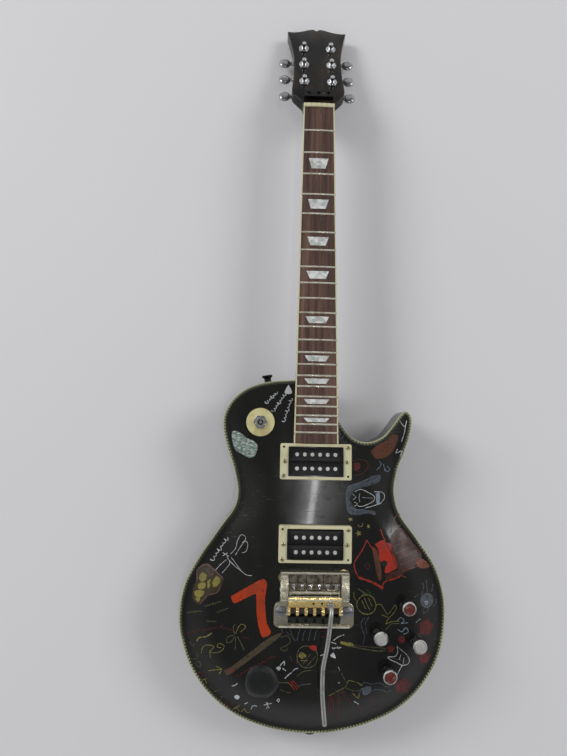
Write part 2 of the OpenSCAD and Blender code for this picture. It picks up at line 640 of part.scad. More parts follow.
// only two of each ring's four screws are left, the bass tail one and the treble neck one
module ring_screw_pair(t) for (p = ring_screw_spots(false)) translate([p[0], p[1], 0]) {
  translate([0, 0, -6]) cylinder(r = screw_r, h = 6 + t);
  translate([0, 0, t]) cylinder(r = 2.5, h = 1.2);
}
module pickup_ring_screws() color([0.55, 0.5, 0.36]) {
  at_neck_pickup() ring_screw_pair(ring_t[0]);
  at_bridge_pickup() ring_screw_pair(ring_t[1]);
}

// ======================= vibrato =======================
wall = 9.5;                              // thickness of each side wall of the frame
plate_t = 3;
ear_half = 49;
ear_l = 30;
cam_y = frame_y - 11.8;
cam_z = top_z + plate_t + cam_r + 1;
cam_half = frame_w / 2 - wall - gap;
axle_r = 2.5;
axle_half = frame_w / 2 - wall + 1.7;
socket_x = 18.5;
socket_y = cam_y + 8.2;
socket_r = 3.6;
socket_flange_r = 4.3;
deck_t = 2.5;
deck_l = 15;
deck_z = top_z + frame_h + 1.2;          // top face of the cam's deck
saddle = [9.8, 18, 7.5];
saddle_pitch = 10.4;
saddle_y = frame_y + frame_l / 2 - 3 - saddle[1] / 2;
roller_r = 2.2;
roller_w = 3.4;
roller_pin_r = 0.8;
roller_y = saddle_y - 3;
roller_z = top_z + plate_t + saddle[2] + 1;

module vibrato_frame() color([0.62, 0.58, 0.44]) translate([0, 0, top_z]) difference() {
  union() {
    linear_extrude(plate_t) {
      translate([-frame_w / 2, frame_y - frame_l / 2]) square([frame_w, frame_l]);
      for (s = [-1, 1]) translate([s * (ear_half - 8), frame_y - frame_l / 2 + ear_l - 8]) circle(8);
      for (s = [-1, 1]) translate([s * (ear_half - 5), frame_y - frame_l / 2 + 5]) circle(5);
      translate([-ear_half, frame_y - frame_l / 2 + 5]) square([2 * ear_half, ear_l - 13]);
    }
    for (s = [-1, 1]) translate([s * (frame_w - wall) / 2, frame_y + frame_l / 2 - 21, 0])
      block(wall, 42, frame_h);
    translate([0, frame_y + frame_l / 2 - 1.25, 0]) block(frame_w, 2.5, frame_h - 3);
    translate([0, frame_y - frame_l / 2 + 1.25, 0]) block(frame_w, 2.5, plate_t + 2.5);
    // bosses that carry the axle
    for (s = [-1, 1]) translate([s * (frame_w - wall) / 2, cam_y, 0]) block(wall, 14, cam_z - top_z + 4);
  }
  translate([0, frame_y - 12.5, -1]) block(frame_w - 2 * wall - 1, 36, 10);
  for (s = [-1, 1]) translate([s * stud_span / 2, stud_y, -1]) cylinder(r = stud_r + seat, h = 8);
  for (s = [-1, 1]) translate([s * stud_span / 2, stud_y, plate_t]) cylinder(r = 7, h = 20);
  translate([-axle_half, cam_y, cam_z - top_z]) rotate([0, 90, 0]) cylinder(r = axle_r, h = 2 * axle_half);
}

// its ends stop short of the stud heads
module vibrato_axle() color([0.6, 0.6, 0.62]) translate([-axle_half, cam_y, cam_z]) rotate([0, 90, 0])
  cylinder(r = axle_r, h = 2 * axle_half);

module vibrato_cam() color([0.78, 0.62, 0.3]) difference() {
  union() {
    translate([-cam_half, cam_y, cam_z]) rotate([0, 90, 0]) cylinder(r = cam_r, h = 2 * cam_half);
    // deck over the barrel and the web that carries it
    translate([0, cam_y + deck_l / 2 + 2, deck_z - deck_t]) block(2 * cam_half, deck_l, deck_t);
    translate([0, cam_y + 3.5, cam_z]) block(2 * cam_half, 3, deck_z - cam_z);
    // claw rail behind the barrel
    translate([0, cam_y - 8.5, cam_z - 3]) block(2 * cam_half, 6, 5);
  }
  translate([-frame_w / 2, cam_y, cam_z]) rotate([0, 90, 0]) cylinder(r = axle_r + run, h = frame_w);
  for (k = [0:5]) translate([(k - 2.5) * saddle_pitch, cam_y - 9, cam_z + 1]) block(5.2, 12, 12);
  for (x = [-1.5, 9]) translate([x, cam_y + 8, deck_z - 5]) cylinder(r = 1.5, h = 10);
  translate([socket_x, socket_y, deck_z - deck_t - eps]) cylinder(r = socket_r, h = 12);
}

module saddles() color([0.5, 0.47, 0.38]) for (k = [0:5])
  translate([(k - 2.5) * saddle_pitch, saddle_y, top_z + plate_t]) difference() {
    union() {
      block(saddle[0], saddle[1], saddle[2]);
      translate([0, roller_y - saddle_y, 0]) block(saddle[0], 5.5, saddle[2] + 2.6);
    }
    translate([0, roller_y - saddle_y, saddle[2] - 2]) block(roller_w + 2 * gap, 6, 8);
    translate([-6, roller_y - saddle_y, roller_z - top_z - plate_t]) rotate([0, 90, 0])
      cylinder(r = roller_pin_r + run, h = 12);
  }
module saddle_rollers() color([0.8, 0.78, 0.7]) for (k = [0:5])
  translate([(k - 2.5) * saddle_pitch, roller_y, roller_z]) rotate([0, 90, 0]) {
    translate([0, 0, -roller_w / 2]) cylinder(r = roller_r, h = roller_w);
    translate([0, 0, -saddle[0] / 2 + 1]) cylinder(r = roller_pin_r, h = saddle[0] - 2);
  }

module frame_studs() color([0.35, 0.35, 0.36]) for (s = [-1, 1])
  translate([s * stud_span / 2, stud_y, top_z]) difference() {
    union() {
      translate([0, 0, -25]) cylinder(r = stud_r, h = 29);
      translate([0, 0, plate_t]) cylinder(r = 6.3, h = 3.5);
      translate([0, 0, plate_t + 3.5]) intersection() {
        translate([0, 0, -10.5]) sphere(r = 12.2);
        cylinder(r = 6.3, h = 4);
      }
    }
    translate([-8, -0.8, plate_t + 3]) cube([16, 1.6, 6]);
  }

module arm_socket() color([0.55, 0.55, 0.57]) translate([socket_x, socket_y, deck_z - deck_t]) {
  tube(socket_r, arm_r + run, deck_t);
  translate([0, 0, deck_t]) tube(socket_flange_r, arm_r + run, 6);
}

arm_path = [[0, 0, 11], [0, 0, 14], [0, -2, 17.5], [-0.5, -6, 20], [-1.2, -12, 20.6], [-3, -30, 19.4],
  [-5.5, -48, 17.8], [-9, -66, 17], [-9.8, -85, 17], [-9, -105, 17.5], [-6.5, -132, 18.5]];
function tangent(i) = unit(arm_path[min(i + 1, len(arm_path) - 1)] - arm_path[max(i - 1, 0)]);
// Ring of the arm's round rod, square to its path
function arm_ring(i) = let (t = tangent(i), u = unit(cross(t, [1, 0, 0])), v = cross(u, t))
  [for (a = [0:22.5:337.5]) arm_path[i] + arm_r * (cos(a) * u + sin(a) * v)];
module vibrato_arm() color([0.7, 0.71, 0.73]) translate([socket_x, socket_y, deck_z - deck_t]) {
  translate([0, 0, deck_t]) cylinder(r = arm_r, h = 10 - deck_t);
  translate([0, 0, 8.9]) cylinder(r = arm_r + 0.9, h = 3.4);
  stack([for (i = [0:len(arm_path) - 1]) arm_ring(i)], arm_path[0], arm_path[len(arm_path) - 1]);
}

// ======================= controls =======================
pot_r = 12;
pot_h = 9;
knob_lift = 1;
shaft_top = 12;                          // shaft inside the knob
bush_top = 3;
module knob(k) translate([control_spots[k][0], control_spots[k][1], 0]) {
  color([0.75, 0.75, 0.75]) difference() {
    translate([0, 0, top_z + knob_lift]) rotate_extrude() polygon([[0, 0], [knob_r, 0], [knob_r, knob_h - 1],
      [knob_r - 1, knob_h], [0, knob_h]]);
    translate([0, 0, top_z + knob_lift - 1]) cylinder(r = 6, h = bush_top + 1.5);
    translate([0, 0, top_z]) cylinder(r = shaft_r, h = shaft_top + knob_lift);
  }
  color([0.6, 0.6, 0.5]) translate([0, 0, control_floor - pot_h + 2]) cylinder(r = shaft_r,
    h = top_z + knob_lift + shaft_top - control_floor + pot_h - 2 - knob_lift);
}
module control_pots() color([0.6, 0.6, 0.6]) for (p = control_spots)
  translate([p[0], p[1], control_floor - pot_h])
  difference() {
    union() {
      cylinder(r = pot_r, h = pot_h);
      cylinder(r = pot_bush_r, h = pot_h + top_z - control_floor + bush_top);
    }
    translate([0, 0, 1.5]) cylinder(r = shaft_r + run, h = 40);
  }

switch_roof = 11.8;                      // top of the switch's box below the face of the body
switch_bottom = 30;
module switch_ring() color([0.86, 0.82, 0.6]) at_switch()
  tube(switch_ring_r, switch_hole_r + seat, switch_ring_t);
module switch_nut() color([0.7, 0.7, 0.66]) at_switch() translate([0, 0, switch_ring_t]) difference() {
  cylinder(r = 9, h = 2.6, $fn = 6);
  translate([0, 0, -1]) cylinder(r = switch_hole_r, h = 5);
}
module selector_switch() color([0.5, 0.5, 0.5]) at_switch() difference() {
  union() {
    translate([0, 0, -switch_bottom - 10]) block(36, 14, switch_bottom + 10 - switch_roof);
    translate([0, 0, -switch_roof - 1]) cylinder(r = switch_hole_r, h = switch_roof + 3);
  }
  translate([0, 0, -switch_bottom]) cylinder(r = 3.5, h = 60);
}
// the lever is snapped off at the mouth of its bushing
module switch_lever_stub() color([0.3, 0.3, 0.3]) at_switch() translate([0, 0, -switch_bottom])
  cylinder(r = 2, h = switch_bottom + 1);

module output_jack() color([0.62, 0.62, 0.62]) at_jack() difference() {
  union() {
    translate([0, 0, -jack_seat - 1.4]) cylinder(r = 4.7, h = jack_seat + 4);
    translate([0, 0, -jack_seat - 26]) cylinder(r = 8, h = 26);
  }
  translate([0, 0, -jack_seat - 24]) cylinder(r = jack_r, h = 40);
}
module jack_plate() color([0.1, 0.1, 0.1]) at_jack() translate([0, 0, -jack_seat]) difference() {
  block(jack_plate_w, jack_plate_w, jack_seat);
  translate([0, 0, -1]) cylinder(r = 4.7, h = 5);
  for (p = jack_screws) translate([p[0], p[1], -1]) cylinder(r = screw_r, h = 5);
}

lie() body_back();
lie() body_top();
lie() body_binding();
lie() neck();
lie() truss_rod();
lie() fretboard();
lie() fretboard_edge_strips();
lie() frets();
lie() fret_inlays();
lie() nut();
lie() string_lock_bar();
lie() string_lock_screws();
lie() strap_buttons();
lie() strap_button_screws();
lie() bridge_post_bushings();
lie() control_cover();
lie() switch_cover();
lie() cover_screws();
lie() tuner_housings();
lie() tuner_bushings();
lie() tuner_screws();
lie() tuner_post(0);  // tuner_post_1
lie() tuner_post(1);  // tuner_post_2
lie() tuner_post(2);  // tuner_post_3
lie() tuner_post(3);  // tuner_post_4
lie() tuner_post(4);  // tuner_post_5
lie() tuner_post(5);  // tuner_post_6
lie() tuner_button(0);  // tuner_button_1
lie() tuner_button(1);  // tuner_button_2
lie() tuner_button(2);  // tuner_button_3
lie() tuner_button(3);  // tuner_button_4
lie() tuner_button(4);  // tuner_button_5
lie() tuner_button(5);  // tuner_button_6
lie() switch_ring();
lie() switch_nut();
lie() selector_switch();
lie() switch_lever_stub();
lie() pickup_rings();
lie() pickup_bobbins();
lie() pickup_baseplates();
lie() pickup_slugs();
lie() pickup_pole_screws();
lie() pickup_height_screws();
lie() pickup_ring_screws();
lie() vibrato_frame();
lie() vibrato_cam();
lie() vibrato_axle();
lie() saddles();
lie() saddle_rollers();
lie() frame_studs();
lie() arm_socket();
lie() vibrato_arm();
lie() knob(0);  // knob_1
lie() knob(1);  // knob_2
lie() knob(2);  // knob_3
lie() knob(3);  // knob_4
lie() control_pots();
lie() output_jack();
lie() jack_plate();
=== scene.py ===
import json
import math
import random

import bmesh
import bpy
import numpy as np
from mathutils import Euler, Matrix, Vector, geometry
from mathutils.bvhtree import BVHTree


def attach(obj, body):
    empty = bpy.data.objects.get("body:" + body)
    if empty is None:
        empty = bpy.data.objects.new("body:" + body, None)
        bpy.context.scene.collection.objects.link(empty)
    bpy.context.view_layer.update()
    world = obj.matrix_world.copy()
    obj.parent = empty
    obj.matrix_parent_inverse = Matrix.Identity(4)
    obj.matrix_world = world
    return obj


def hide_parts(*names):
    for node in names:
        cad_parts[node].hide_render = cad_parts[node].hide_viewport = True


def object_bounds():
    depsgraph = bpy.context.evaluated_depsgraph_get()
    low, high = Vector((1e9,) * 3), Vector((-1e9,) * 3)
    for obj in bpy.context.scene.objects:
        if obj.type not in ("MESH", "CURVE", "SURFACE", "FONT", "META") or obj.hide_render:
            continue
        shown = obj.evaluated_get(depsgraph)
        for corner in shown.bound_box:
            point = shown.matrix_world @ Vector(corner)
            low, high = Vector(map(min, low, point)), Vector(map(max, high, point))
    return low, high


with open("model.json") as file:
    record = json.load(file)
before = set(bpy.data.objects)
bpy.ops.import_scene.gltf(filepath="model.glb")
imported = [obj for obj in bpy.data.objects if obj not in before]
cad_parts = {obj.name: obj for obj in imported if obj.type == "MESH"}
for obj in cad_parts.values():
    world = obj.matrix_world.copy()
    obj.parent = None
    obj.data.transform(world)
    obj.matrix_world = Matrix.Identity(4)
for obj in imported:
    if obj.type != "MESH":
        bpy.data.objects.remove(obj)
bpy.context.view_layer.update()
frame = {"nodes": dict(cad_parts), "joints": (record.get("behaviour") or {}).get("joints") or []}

# ---- How the guitar lies ----
# Every piece is drawn in the guitar's own frame, in millimetres: x runs to the treble side, y is 0 at the nut
# and falls towards the tail, z is 0 on the flat back. LIE lays the whole guitar down on its back, in metres.
JOINTS = {j["name"]: j for j in frame["joints"]}
SCALE = 628.65
TOP = 62.0
AXLE_Y, AXLE_UP = -SCALE - 38.8, 9.8
CAM = Vector((0, AXLE_Y, TOP + AXLE_UP))
lying_up = JOINTS["arm_swing"]["axis"]
LIE = (Matrix.Translation(JOINTS["vibrato_rock"]["pos_m"])
       @ Matrix.Rotation(math.atan2(-lying_up[1], lying_up[2]), 4, "X")
       @ Matrix.Scale(0.001, 4) @ Matrix.Translation(-CAM))


def shift(x, y, z):
    return Matrix.Translation((x, y, z))


def turn(angle, axis):
    return Matrix.Rotation(math.radians(angle), 4, axis)


def fret_at(n):
    return SCALE * (1 - 2 ** (-n / 12))


HEEL = fret_at(16)
BOARD_T = 6.0
NUT_T = 5.0
JOINT_UP = 57
NECK_PITCH, HEAD_LEAN = 4, 17
SLOPE = math.radians(NECK_PITCH)
NECK = shift(0, -HEEL, JOINT_UP) @ turn(-NECK_PITCH, "X") @ shift(0, HEEL, 0)
HEAD = NECK @ shift(0, NUT_T, -BOARD_T) @ turn(-HEAD_LEAN, "X")


# ---- Body ----
# A mahogany slab under a carved maple cap, cut with one horn, sprayed gloss black and rubbed by years of
# sleeves and hands. The cap drops from its flat middle to the purfled edge, and is planed along the neck's
# pitch. A flat is milled into its side for the jack plate, and two recesses into its back for the covers.
class Shape:
    """A mesh being built in millimetres. Each method adds one closed form to it."""

    def __init__(self):
        self.points = []
        self.faces = []
        self.tones = []

    def add(self, points, faces, at=None, tone=0):
        first = len(self.points)
        self.points += [at @ Vector(p) if at else Vector(p) for p in points]
        self.faces += [[first + i for i in f] for f in faces]
        self.tones += [tone] * len(faces)
        return self

    def sleeve(self, rings, at=None, tone=0):
        """An open wall through rings of as many points each."""
        n = len(rings[0])
        return self.add([p for ring in rings for p in ring],
                        [[k * n + i, k * n + (i + 1) % n, (k + 1) * n + (i + 1) % n, (k + 1) * n + i]
                         for k in range(len(rings) - 1) for i in range(n)], at, tone)

    def loft(self, rings, at=None, tone=0, hoop=False):
        """A sleeve with its ends closed, or joined to each other in a hoop."""
        if hoop:
            return self.sleeve(rings + rings[:1], at, tone)
        last = range(len(rings[0]))
        self.sleeve(rings, at, tone)
        self.add(rings[0], [list(last)[::-1]], at, tone)
        return self.add(rings[-1], [list(last)], at, tone)

    def block(self, low, high, at=None, tone=0):
        (a, b, c), (d, e, f) = low, high
        flat = [(a, b), (d, b), (d, e), (a, e)]
        return self.loft([[(x, y, z) for x, y in flat] for z in (c, f)], at, tone)

    def turned(self, profile, at=None, tone=0, sides=48, hoop=False):
        angles = [2 * math.pi * i / sides for i in range(sides)]
        rings = [[(r * math.cos(a), r * math.sin(a), z) for a in angles] for r, z in profile]
        return self.loft(rings, at, tone, hoop)

    def rod(self, path, radii, at=None, tone=0, sides=20):
        path = [Vector(p) for p in path]
        side = Vector((1, 0, 0))
        rings = []
        for i, p in enumerate(path):
            along = (path[min(i + 1, len(path) - 1)] - path[max(i - 1, 0)]).normalized()
            across = (side - along * side.dot(along)).normalized()
            other = along.cross(across)
            rings.append([p + radii[i] * (math.cos(a) * across + math.sin(a) * other)
                          for a in (2 * math.pi * k / sides for k in range(sides))])
        return self.loft(rings, at, tone)

    def plate(self, outline, holes, low, high, rounding=0.0, at=None, tone=0):
        """A flat sheet with holes through it and its upper rim rounded over."""
        steps = [math.pi / 2 * k / 4 for k in range(5)] if rounding else [0]
        wall = [(0, low)] + [(rounding * (1 - math.cos(a)), high - rounding * (1 - math.sin(a)))
                             for a in steps]
        self.sleeve([[(x, y, z) for x, y in inset(outline, depth)] for depth, z in wall], at, tone)
        for loop, z in ((outline, low), (inset(outline, rounding), high)):
            flat, triangles = tiles([loop], holes)
            self.add([(x, y, z) for x, y in flat], triangles, at, tone)
        for hole in holes:
            self.sleeve([[(x, y, z) for x, y in hole] for z in (low, high)], at, tone)
        return self

    def made(self, name, finishes, slot, body="root", where=None, stands_for=(), bevel=0.0, sharp=32):
        """Turns the shape into a piece of the guitar that rides on a body."""
        mesh = bpy.data.meshes.new(name)
        place = LIE @ where if where else LIE
        mesh.from_pydata([place @ p for p in self.points], [], self.faces)
        for finish in finishes:
            mesh.materials.append(finish.material)
        mesh.polygons.foreach_set("material_index", self.tones)
        work = bmesh.new()
        work.from_mesh(mesh)
        bmesh.ops.remove_doubles(work, verts=work.verts, dist=1e-6)
        bmesh.ops.recalc_face_normals(work, faces=work.faces)
        work.to_mesh(mesh)
        work.free()
        mesh.shade_smooth()
        mesh.set_sharp_from_angle(angle=math.radians(sharp))
        piece = bpy.data.objects.new(name, mesh)
        bpy.context.scene.collection.objects.link(piece)
        if bevel:
            edge = piece.modifiers.new("edges", "BEVEL")
            edge.width = bevel / 1000
            edge.segments = 2
            edge.limit_method = "ANGLE"
            edge.angle_limit = math.radians(35)
            edge.harden_normals = True
        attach(piece, body)
        if stands_for:
            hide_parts(*stands_for)
        return piece


def inset(loop, depth):
    """The same loop moved inwards; loops run anticlockwise, or clockwise with a negative depth."""
    if not depth:
        return list(loop)
    result = []
    for i, (x, y) in enumerate(loop):
        (ax, ay), (bx, by) = loop[i - 1], loop[(i + 1) % len(loop)]
        length = math.hypot(bx - ax, by - ay)
        result.append((x - depth * (by - ay) / length, y + depth * (bx - ax) / length))
    return result


def circle(x, y, r, sides=32):
    return [(x + r * math.cos(2 * math.pi * i / sides), y + r * math.sin(2 * math.pi * i / sides))
            for i in range(sides)]


def rounded(x0, y0, x1, y1, r, sides=6):
    """A rectangle with rounded corners, anticlockwise."""
    corners = [(x1 - r, y1 - r, 0), (x0 + r, y1 - r, 90), (x0 + r, y0 + r, 180), (x1 - r, y0 + r, 270)]
    return [(cx + r * math.cos(a), cy + r * math.sin(a)) for cx, cy, start in corners
            for a in (math.radians(start + 90 * k / sides) for k in range(sides + 1))]


def within(points, loop):
    """Which of the points lie inside the loop."""
    x, y = points[:, 0], points[:, 1]
    hit = np.zeros(len(points), bool)
    for (ax, ay), (bx, by) in zip(loop, loop[1:] + loop[:1]):
        if ay != by:
            cross = (ay > y) != (by > y)
            hit ^= cross & (x < (bx - ax) * (y - ay) / (by - ay) + ax)
    return hit


def tiles(loops, holes, inner=()):
    """Triangles that fill the loops, leave the holes open and pass through the inner points."""
    flat, edges = [], []
    for loop in list(loops) + list(holes):
        first = len(flat)
        flat += [Vector(p) for p in loop]
        edges += [(first + i, first + (i + 1) % len(loop)) for i in range(len(loop))]
    flat += [Vector(p) for p in inner]
    points, _, faces, *_ = geometry.delaunay_2d_cdt(flat, edges, [], 0, 1e-5)
    middles = np.array([sum((points[i] for i in f), Vector((0, 0))) / 3 for f in faces])
    keep = np.zeros(len(faces), bool)
    for loop in loops:
        keep |= within(middles, list(loop))
    for hole in holes:
        keep &= ~within(middles, list(hole))
    return [tuple(p) for p in points], [list(f) for f, k in zip(faces, keep) if k]


def curve(points, steps):
    """A smooth open curve through the points."""
    last = len(points) - 1
    result = []
    for i in range(last):
        a, b, c, d = (np.array(points[min(max(j, 0), last)], float) for j in range(i - 1, i + 3))
        for t in (k / steps for k in range(steps)):
            result.append(0.5 * (2 * b + (c - a) * t + (2 * a - 5 * b + 4 * c - d) * t * t
                                 + (3 * b - a - 3 * c + d) * t ** 3))
    return result + [np.array(points[last], float)]


def walked(points, step):
    """The same closed loop with its points an even step apart."""
    loop = np.array(list(points) + [points[0]])
    run = np.concatenate([[0], np.cumsum(np.hypot(*np.diff(loop, axis=0).T))])
    places = np.linspace(0, run[-1], int(run[-1] / step) + 1)[:-1]
    return [(np.interp(s, run, loop[:, 0]), np.interp(s, run, loop[:, 1])) for s in places]


class Wire:
    """A number on its way between shader nodes; sums on wires add Math nodes."""

    def __init__(self, finish, socket):
        self.finish = finish
        self.socket = socket

    def sum(self, operation, a, b):
        return self.finish.node("Math", {"operation": operation}, {0: a, 1: b})

    def __add__(self, other):
        return self.sum("ADD", self, other)

    def __radd__(self, other):
        return self.sum("ADD", other, self)

    def __sub__(self, other):
        return self.sum("SUBTRACT", self, other)

    def __rsub__(self, other):
        return self.sum("SUBTRACT", other, self)

    def __mul__(self, other):
        return self.sum("MULTIPLY", self, other)

    def __rmul__(self, other):
        return self.sum("MULTIPLY", other, self)


class Finish:
    """One surface finish: a material, its shader, and the nodes that vary it over the surface."""

    def __init__(self, name, colour, roughness=0.5, metallic=0.0, **fixed):
        self.material = bpy.data.materials.new(name)
        self.material.use_nodes = True
        self.tree = self.material.node_tree
        self.shader = self.tree.nodes["Principled BSDF"]
        self.material.diffuse_color = (*colour, 1)
        self.shader.inputs["Base Color"].default_value = (*colour, 1)
        self.shader.inputs["Roughness"].default_value = roughness
        self.shader.inputs["Metallic"].default_value = metallic
        for socket, value in fixed.items():
            self.shader.inputs[socket.replace("_", " ")].default_value = value
        self.place = self.node("TexCoord", out="Object")

    def node(self, kind, settings=None, inputs=None, out=0):
        made = self.tree.nodes.new("ShaderNode" + kind)
        for key, value in (settings or {}).items():
            if key == "stops":
                while len(made.color_ramp.elements) < len(value):
                    made.color_ramp.elements.new(1.0)
                for element, (position, colour) in zip(made.color_ramp.elements, value):
                    element.position = position
                    element.color = (*colour, 1)
            else:
                setattr(made, key, value)
        for key, value in (inputs or {}).items():
            if isinstance(value, Wire):
                self.tree.links.new(value.socket, made.inputs[key])
            else:
                made.inputs[key].default_value = value
        return Wire(self, made.outputs[out])

    def noise(self, scale, detail=4.0, stretch=(1, 1, 1), rough=0.5):
        """Cloudy variation; scale counts its cells per metre."""
        spread = self.node("Mapping", inputs={"Vector": self.place, "Scale": stretch})
        return self.node("TexNoise", inputs={"Vector": spread, "Scale": scale, "Detail": detail,
                                             "Roughness": rough}, out="Fac")

    def band(self, wire, low, high):
        """0 below low, 1 above high, and a smooth rise between."""
        return self.node("MapRange", {"interpolation_type": "SMOOTHSTEP"},
                         {"Value": wire, "From Min": low, "From Max": high})

    def mix(self, factor, a, b):
        a, b = ((*c, 1) if isinstance(c, tuple) else c for c in (a, b))
        return self.node("Mix", {"data_type": "RGBA"}, {0: factor, 6: a, 7: b}, out=2)

    def feed(self, **wires):
        """Joins wires to the shader's sockets."""
        for socket, wire in wires.items():
            self.tree.links.new(wire.socket, self.shader.inputs[socket.replace("_", " ")])
        return self

    def bumped(self, height, strength, distance):
        """Relief from a height wire; distance is in metres."""
        relief = self.node("Bump", inputs={"Height": height, "Strength": strength, "Distance": distance})
        return self.feed(Normal=relief)

    def patchy(self, scale, detail, span, colours, rough, share=1.0):
        """Colour and roughness that pass from a first value towards a second in cloudy patches."""
        patches = self.band(self.noise(scale, detail), *span)
        return self.feed(Base_Color=self.mix(patches * share, *colours),
                         Roughness=rough[0] + patches * rough[1])

    def eased(self, radius):
        """Edges that take the light as if rounded off; the radius is in metres."""
        return self.feed(Normal=self.node("Bevel", {"samples": 4}, {"Radius": radius}))

    def on(self, *nodes):
        """Gives the finish to pieces that keep their exact shape."""
        for name in nodes:
            piece = frame["nodes"][name]
            piece.data.materials.clear()
            piece.data.materials.append(self.material)


SHOULDER = -HEEL - 5.8
EDGE = 50.0
RISE = TOP - EDGE
CARVE = 38.0
STRIP = 4.5
STRIP_DEEP = 4.0
BACK_ROUND = 4.0
rim_points = [(29, -49), (38, -63), (52, -75), (70, -78), (87, -71), (98.5, -58.5), (108.5, -44),
              (116, -37.5), (123, -42), (124.5, -53), (121.5, -70), (114.5, -91), (106, -114),
              (102, -140), (109, -168), (130, -197), (151, -227), (163, -260), (166, -295), (160, -334),
              (143, -369), (112, -401), (70, -422), (20, -433), (-30, -432), (-80, -419), (-120, -394),
              (-148, -360), (-163, -320), (-166, -290), (-160, -256), (-144, -225), (-120, -189),
              (-102, -163), (-98, -142), (-103, -116), (-112, -89), (-118, -65), (-117, -45), (-105, -24),
              (-83, -9), (-56, -2), (-28, 0)]
# the rim runs clockwise round the controls, so it is turned about to run anticlockwise
rim = walked([tuple(p) for p in curve(rim_points, 12)] + [(27, 0)], 2.0)[::-1]
rim = [(x, y + SHOULDER) for x, y in rim]
ledge = inset(rim, STRIP)
knob_spots = [(x, y + SHOULDER) for x, y in [(114, -277), (80, -312), (127, -321), (91, -356)]]
SWITCH = (-71, SHOULDER - 55)


def edge_distance(points, loop):
    """How far each point lies from the loop."""
    a = np.array(loop)
    b = np.roll(a, -1, axis=0)
    span = b - a
    nearest = np.full(len(points), 1e9)
    for k in range(len(a)):
        t = np.clip(((points - a[k]) @ span[k]) / (span[k] @ span[k]), 0, 1)
        nearest = np.minimum(nearest, np.hypot(*(points - a[k] - t[:, None] * span[k]).T))
    return nearest


def carved(points):
    """Height of the carved top, with the plane cut for the neck blended in."""
    t = np.clip((edge_distance(points, rim) - STRIP) / CARVE, 0, 1)
    carve = EDGE + RISE * t * t * (3 - 2 * t)
    pitch = JOINT_UP - (points[:, 1] + HEEL) * math.tan(SLOPE) - BOARD_T / math.cos(SLOPE)
    return -0.7 * np.log(np.exp(-(carve - EDGE) / 0.7) + np.exp(-(pitch - EDGE) / 0.7)) + EDGE


GRID = 3.6
grid = np.array([(-170 + GRID * (i + 0.5 * (j % 2)), SHOULDER - 440 + GRID * 0.866 * j)
                 for j in range(145) for i in range(96)])
grid = grid[within(grid, ledge)]
grid = grid[edge_distance(grid, rim) > STRIP + 1.8]
openings = [circle(*SWITCH, 6.2)] + [circle(*p, 4.9) for p in knob_spots]
for middle in [np.mean(loop, axis=0) for loop in openings]:
    grid = grid[np.hypot(*(grid - middle).T) > 8]
flat, top_faces = tiles([ledge], openings, [tuple(p) for p in grid])
flat = np.array(flat)
height = carved(flat)
depth = edge_distance(flat, rim)
pairs = np.array([(f[i], f[(i + 1) % 3]) for f in top_faces for i in range(3)])
pairs = np.concatenate([pairs, pairs[:, ::-1]])
share = np.bincount(pairs[:, 0], minlength=len(flat))
for _ in range(14):
    near = np.bincount(pairs[:, 0], weights=height[pairs[:, 1]], minlength=len(flat)) / np.maximum(share, 1)
    height = np.where(depth > 9, near, height)
top_points = [(x, y, z) for (x, y), z in zip(flat, height)]
TOP_SURFACE = BVHTree.FromPolygons([Vector(p) for p in top_points], top_faces)


def on_top(x, y, lift=0.0):
    """The point of the carved top at that place, lifted a little."""
    hit = (TOP_SURFACE.ray_cast(Vector((x, y, 200)), Vector((0, 0, -1)))[0]
           or TOP_SURFACE.find_nearest(Vector((x, y, TOP)))[0])
    return (x, y, hit.z + lift)


body = Shape()
body.add(top_points, top_faces)
for loop in openings:
    bottom = [(x, y, EDGE - 10) for x, y in loop]
    body.sleeve([[on_top(x, y) for x, y in inset(loop, -0.02)], bottom])
    body.add(bottom, [list(range(len(loop)))])
JACK = Vector((140.5, SHOULDER - 372.6))
JACK_OUT = Vector((1, 0)) @ Matrix.Rotation(math.radians(41), 2)
JACK_SEAT = 2.05
FLAT_HALF = 19.2
FLAT_Z = (4.9, 39.1)


def seated(x, y):
    """The rim's point there, moved back onto the flat that is milled for the jack plate."""
    away = Vector((x, y)) - JACK
    past = away.dot(JACK_OUT) + JACK_SEAT
    if past > 0 and abs(away.dot(JACK_OUT.orthogonal())) < FLAT_HALF:
        x, y = x - past * JACK_OUT.x, y - past * JACK_OUT.y
    return x, y


def rim_ring(depth, z):
    return [(x, y, z) for x, y in inset(rim, depth)]


curl = [math.pi / 2 * k / 6 for k in range(7)]
rings = [rim_ring(STRIP, EDGE), rim_ring(STRIP, EDGE - STRIP_DEEP), rim_ring(0, EDGE - STRIP_DEEP),
         rim_ring(0, FLAT_Z[1])]
rings += [[(*seated(x, y), z) for x, y in rim] for z in FLAT_Z[::-1]]
rings += [rim_ring(0, FLAT_Z[0])]
rings += [rim_ring(BACK_ROUND * (1 - math.cos(a)), BACK_ROUND * (1 - math.sin(a))) for a in curl]
body.sleeve(rings)
LID = 2.05
lid_quad = [knob_spots[i] for i in (0, 1, 3, 2)]


def hull(points, grow):
    """Outline of discs of that radius round the points, all tied together, anticlockwise."""
    cloud = [p for x, y in points for p in circle(x, y, grow, 48)]
    order = geometry.convex_hull_2d([Vector(p) for p in cloud])
    return [tuple(cloud[i]) for i in order]


recesses = [hull(lid_quad, 22.1), circle(*SWITCH, 29.05, 64)]
flat, back_faces = tiles([inset(rim, BACK_ROUND)], recesses)
body.add([(x, y, 0) for x, y in flat], back_faces)
for loop in recesses:
    body.sleeve([[(x, y, z) for x, y in loop] for z in (0, LID)])
    body.add([(x, y, LID) for x, y in loop], [list(range(len(loop)))])

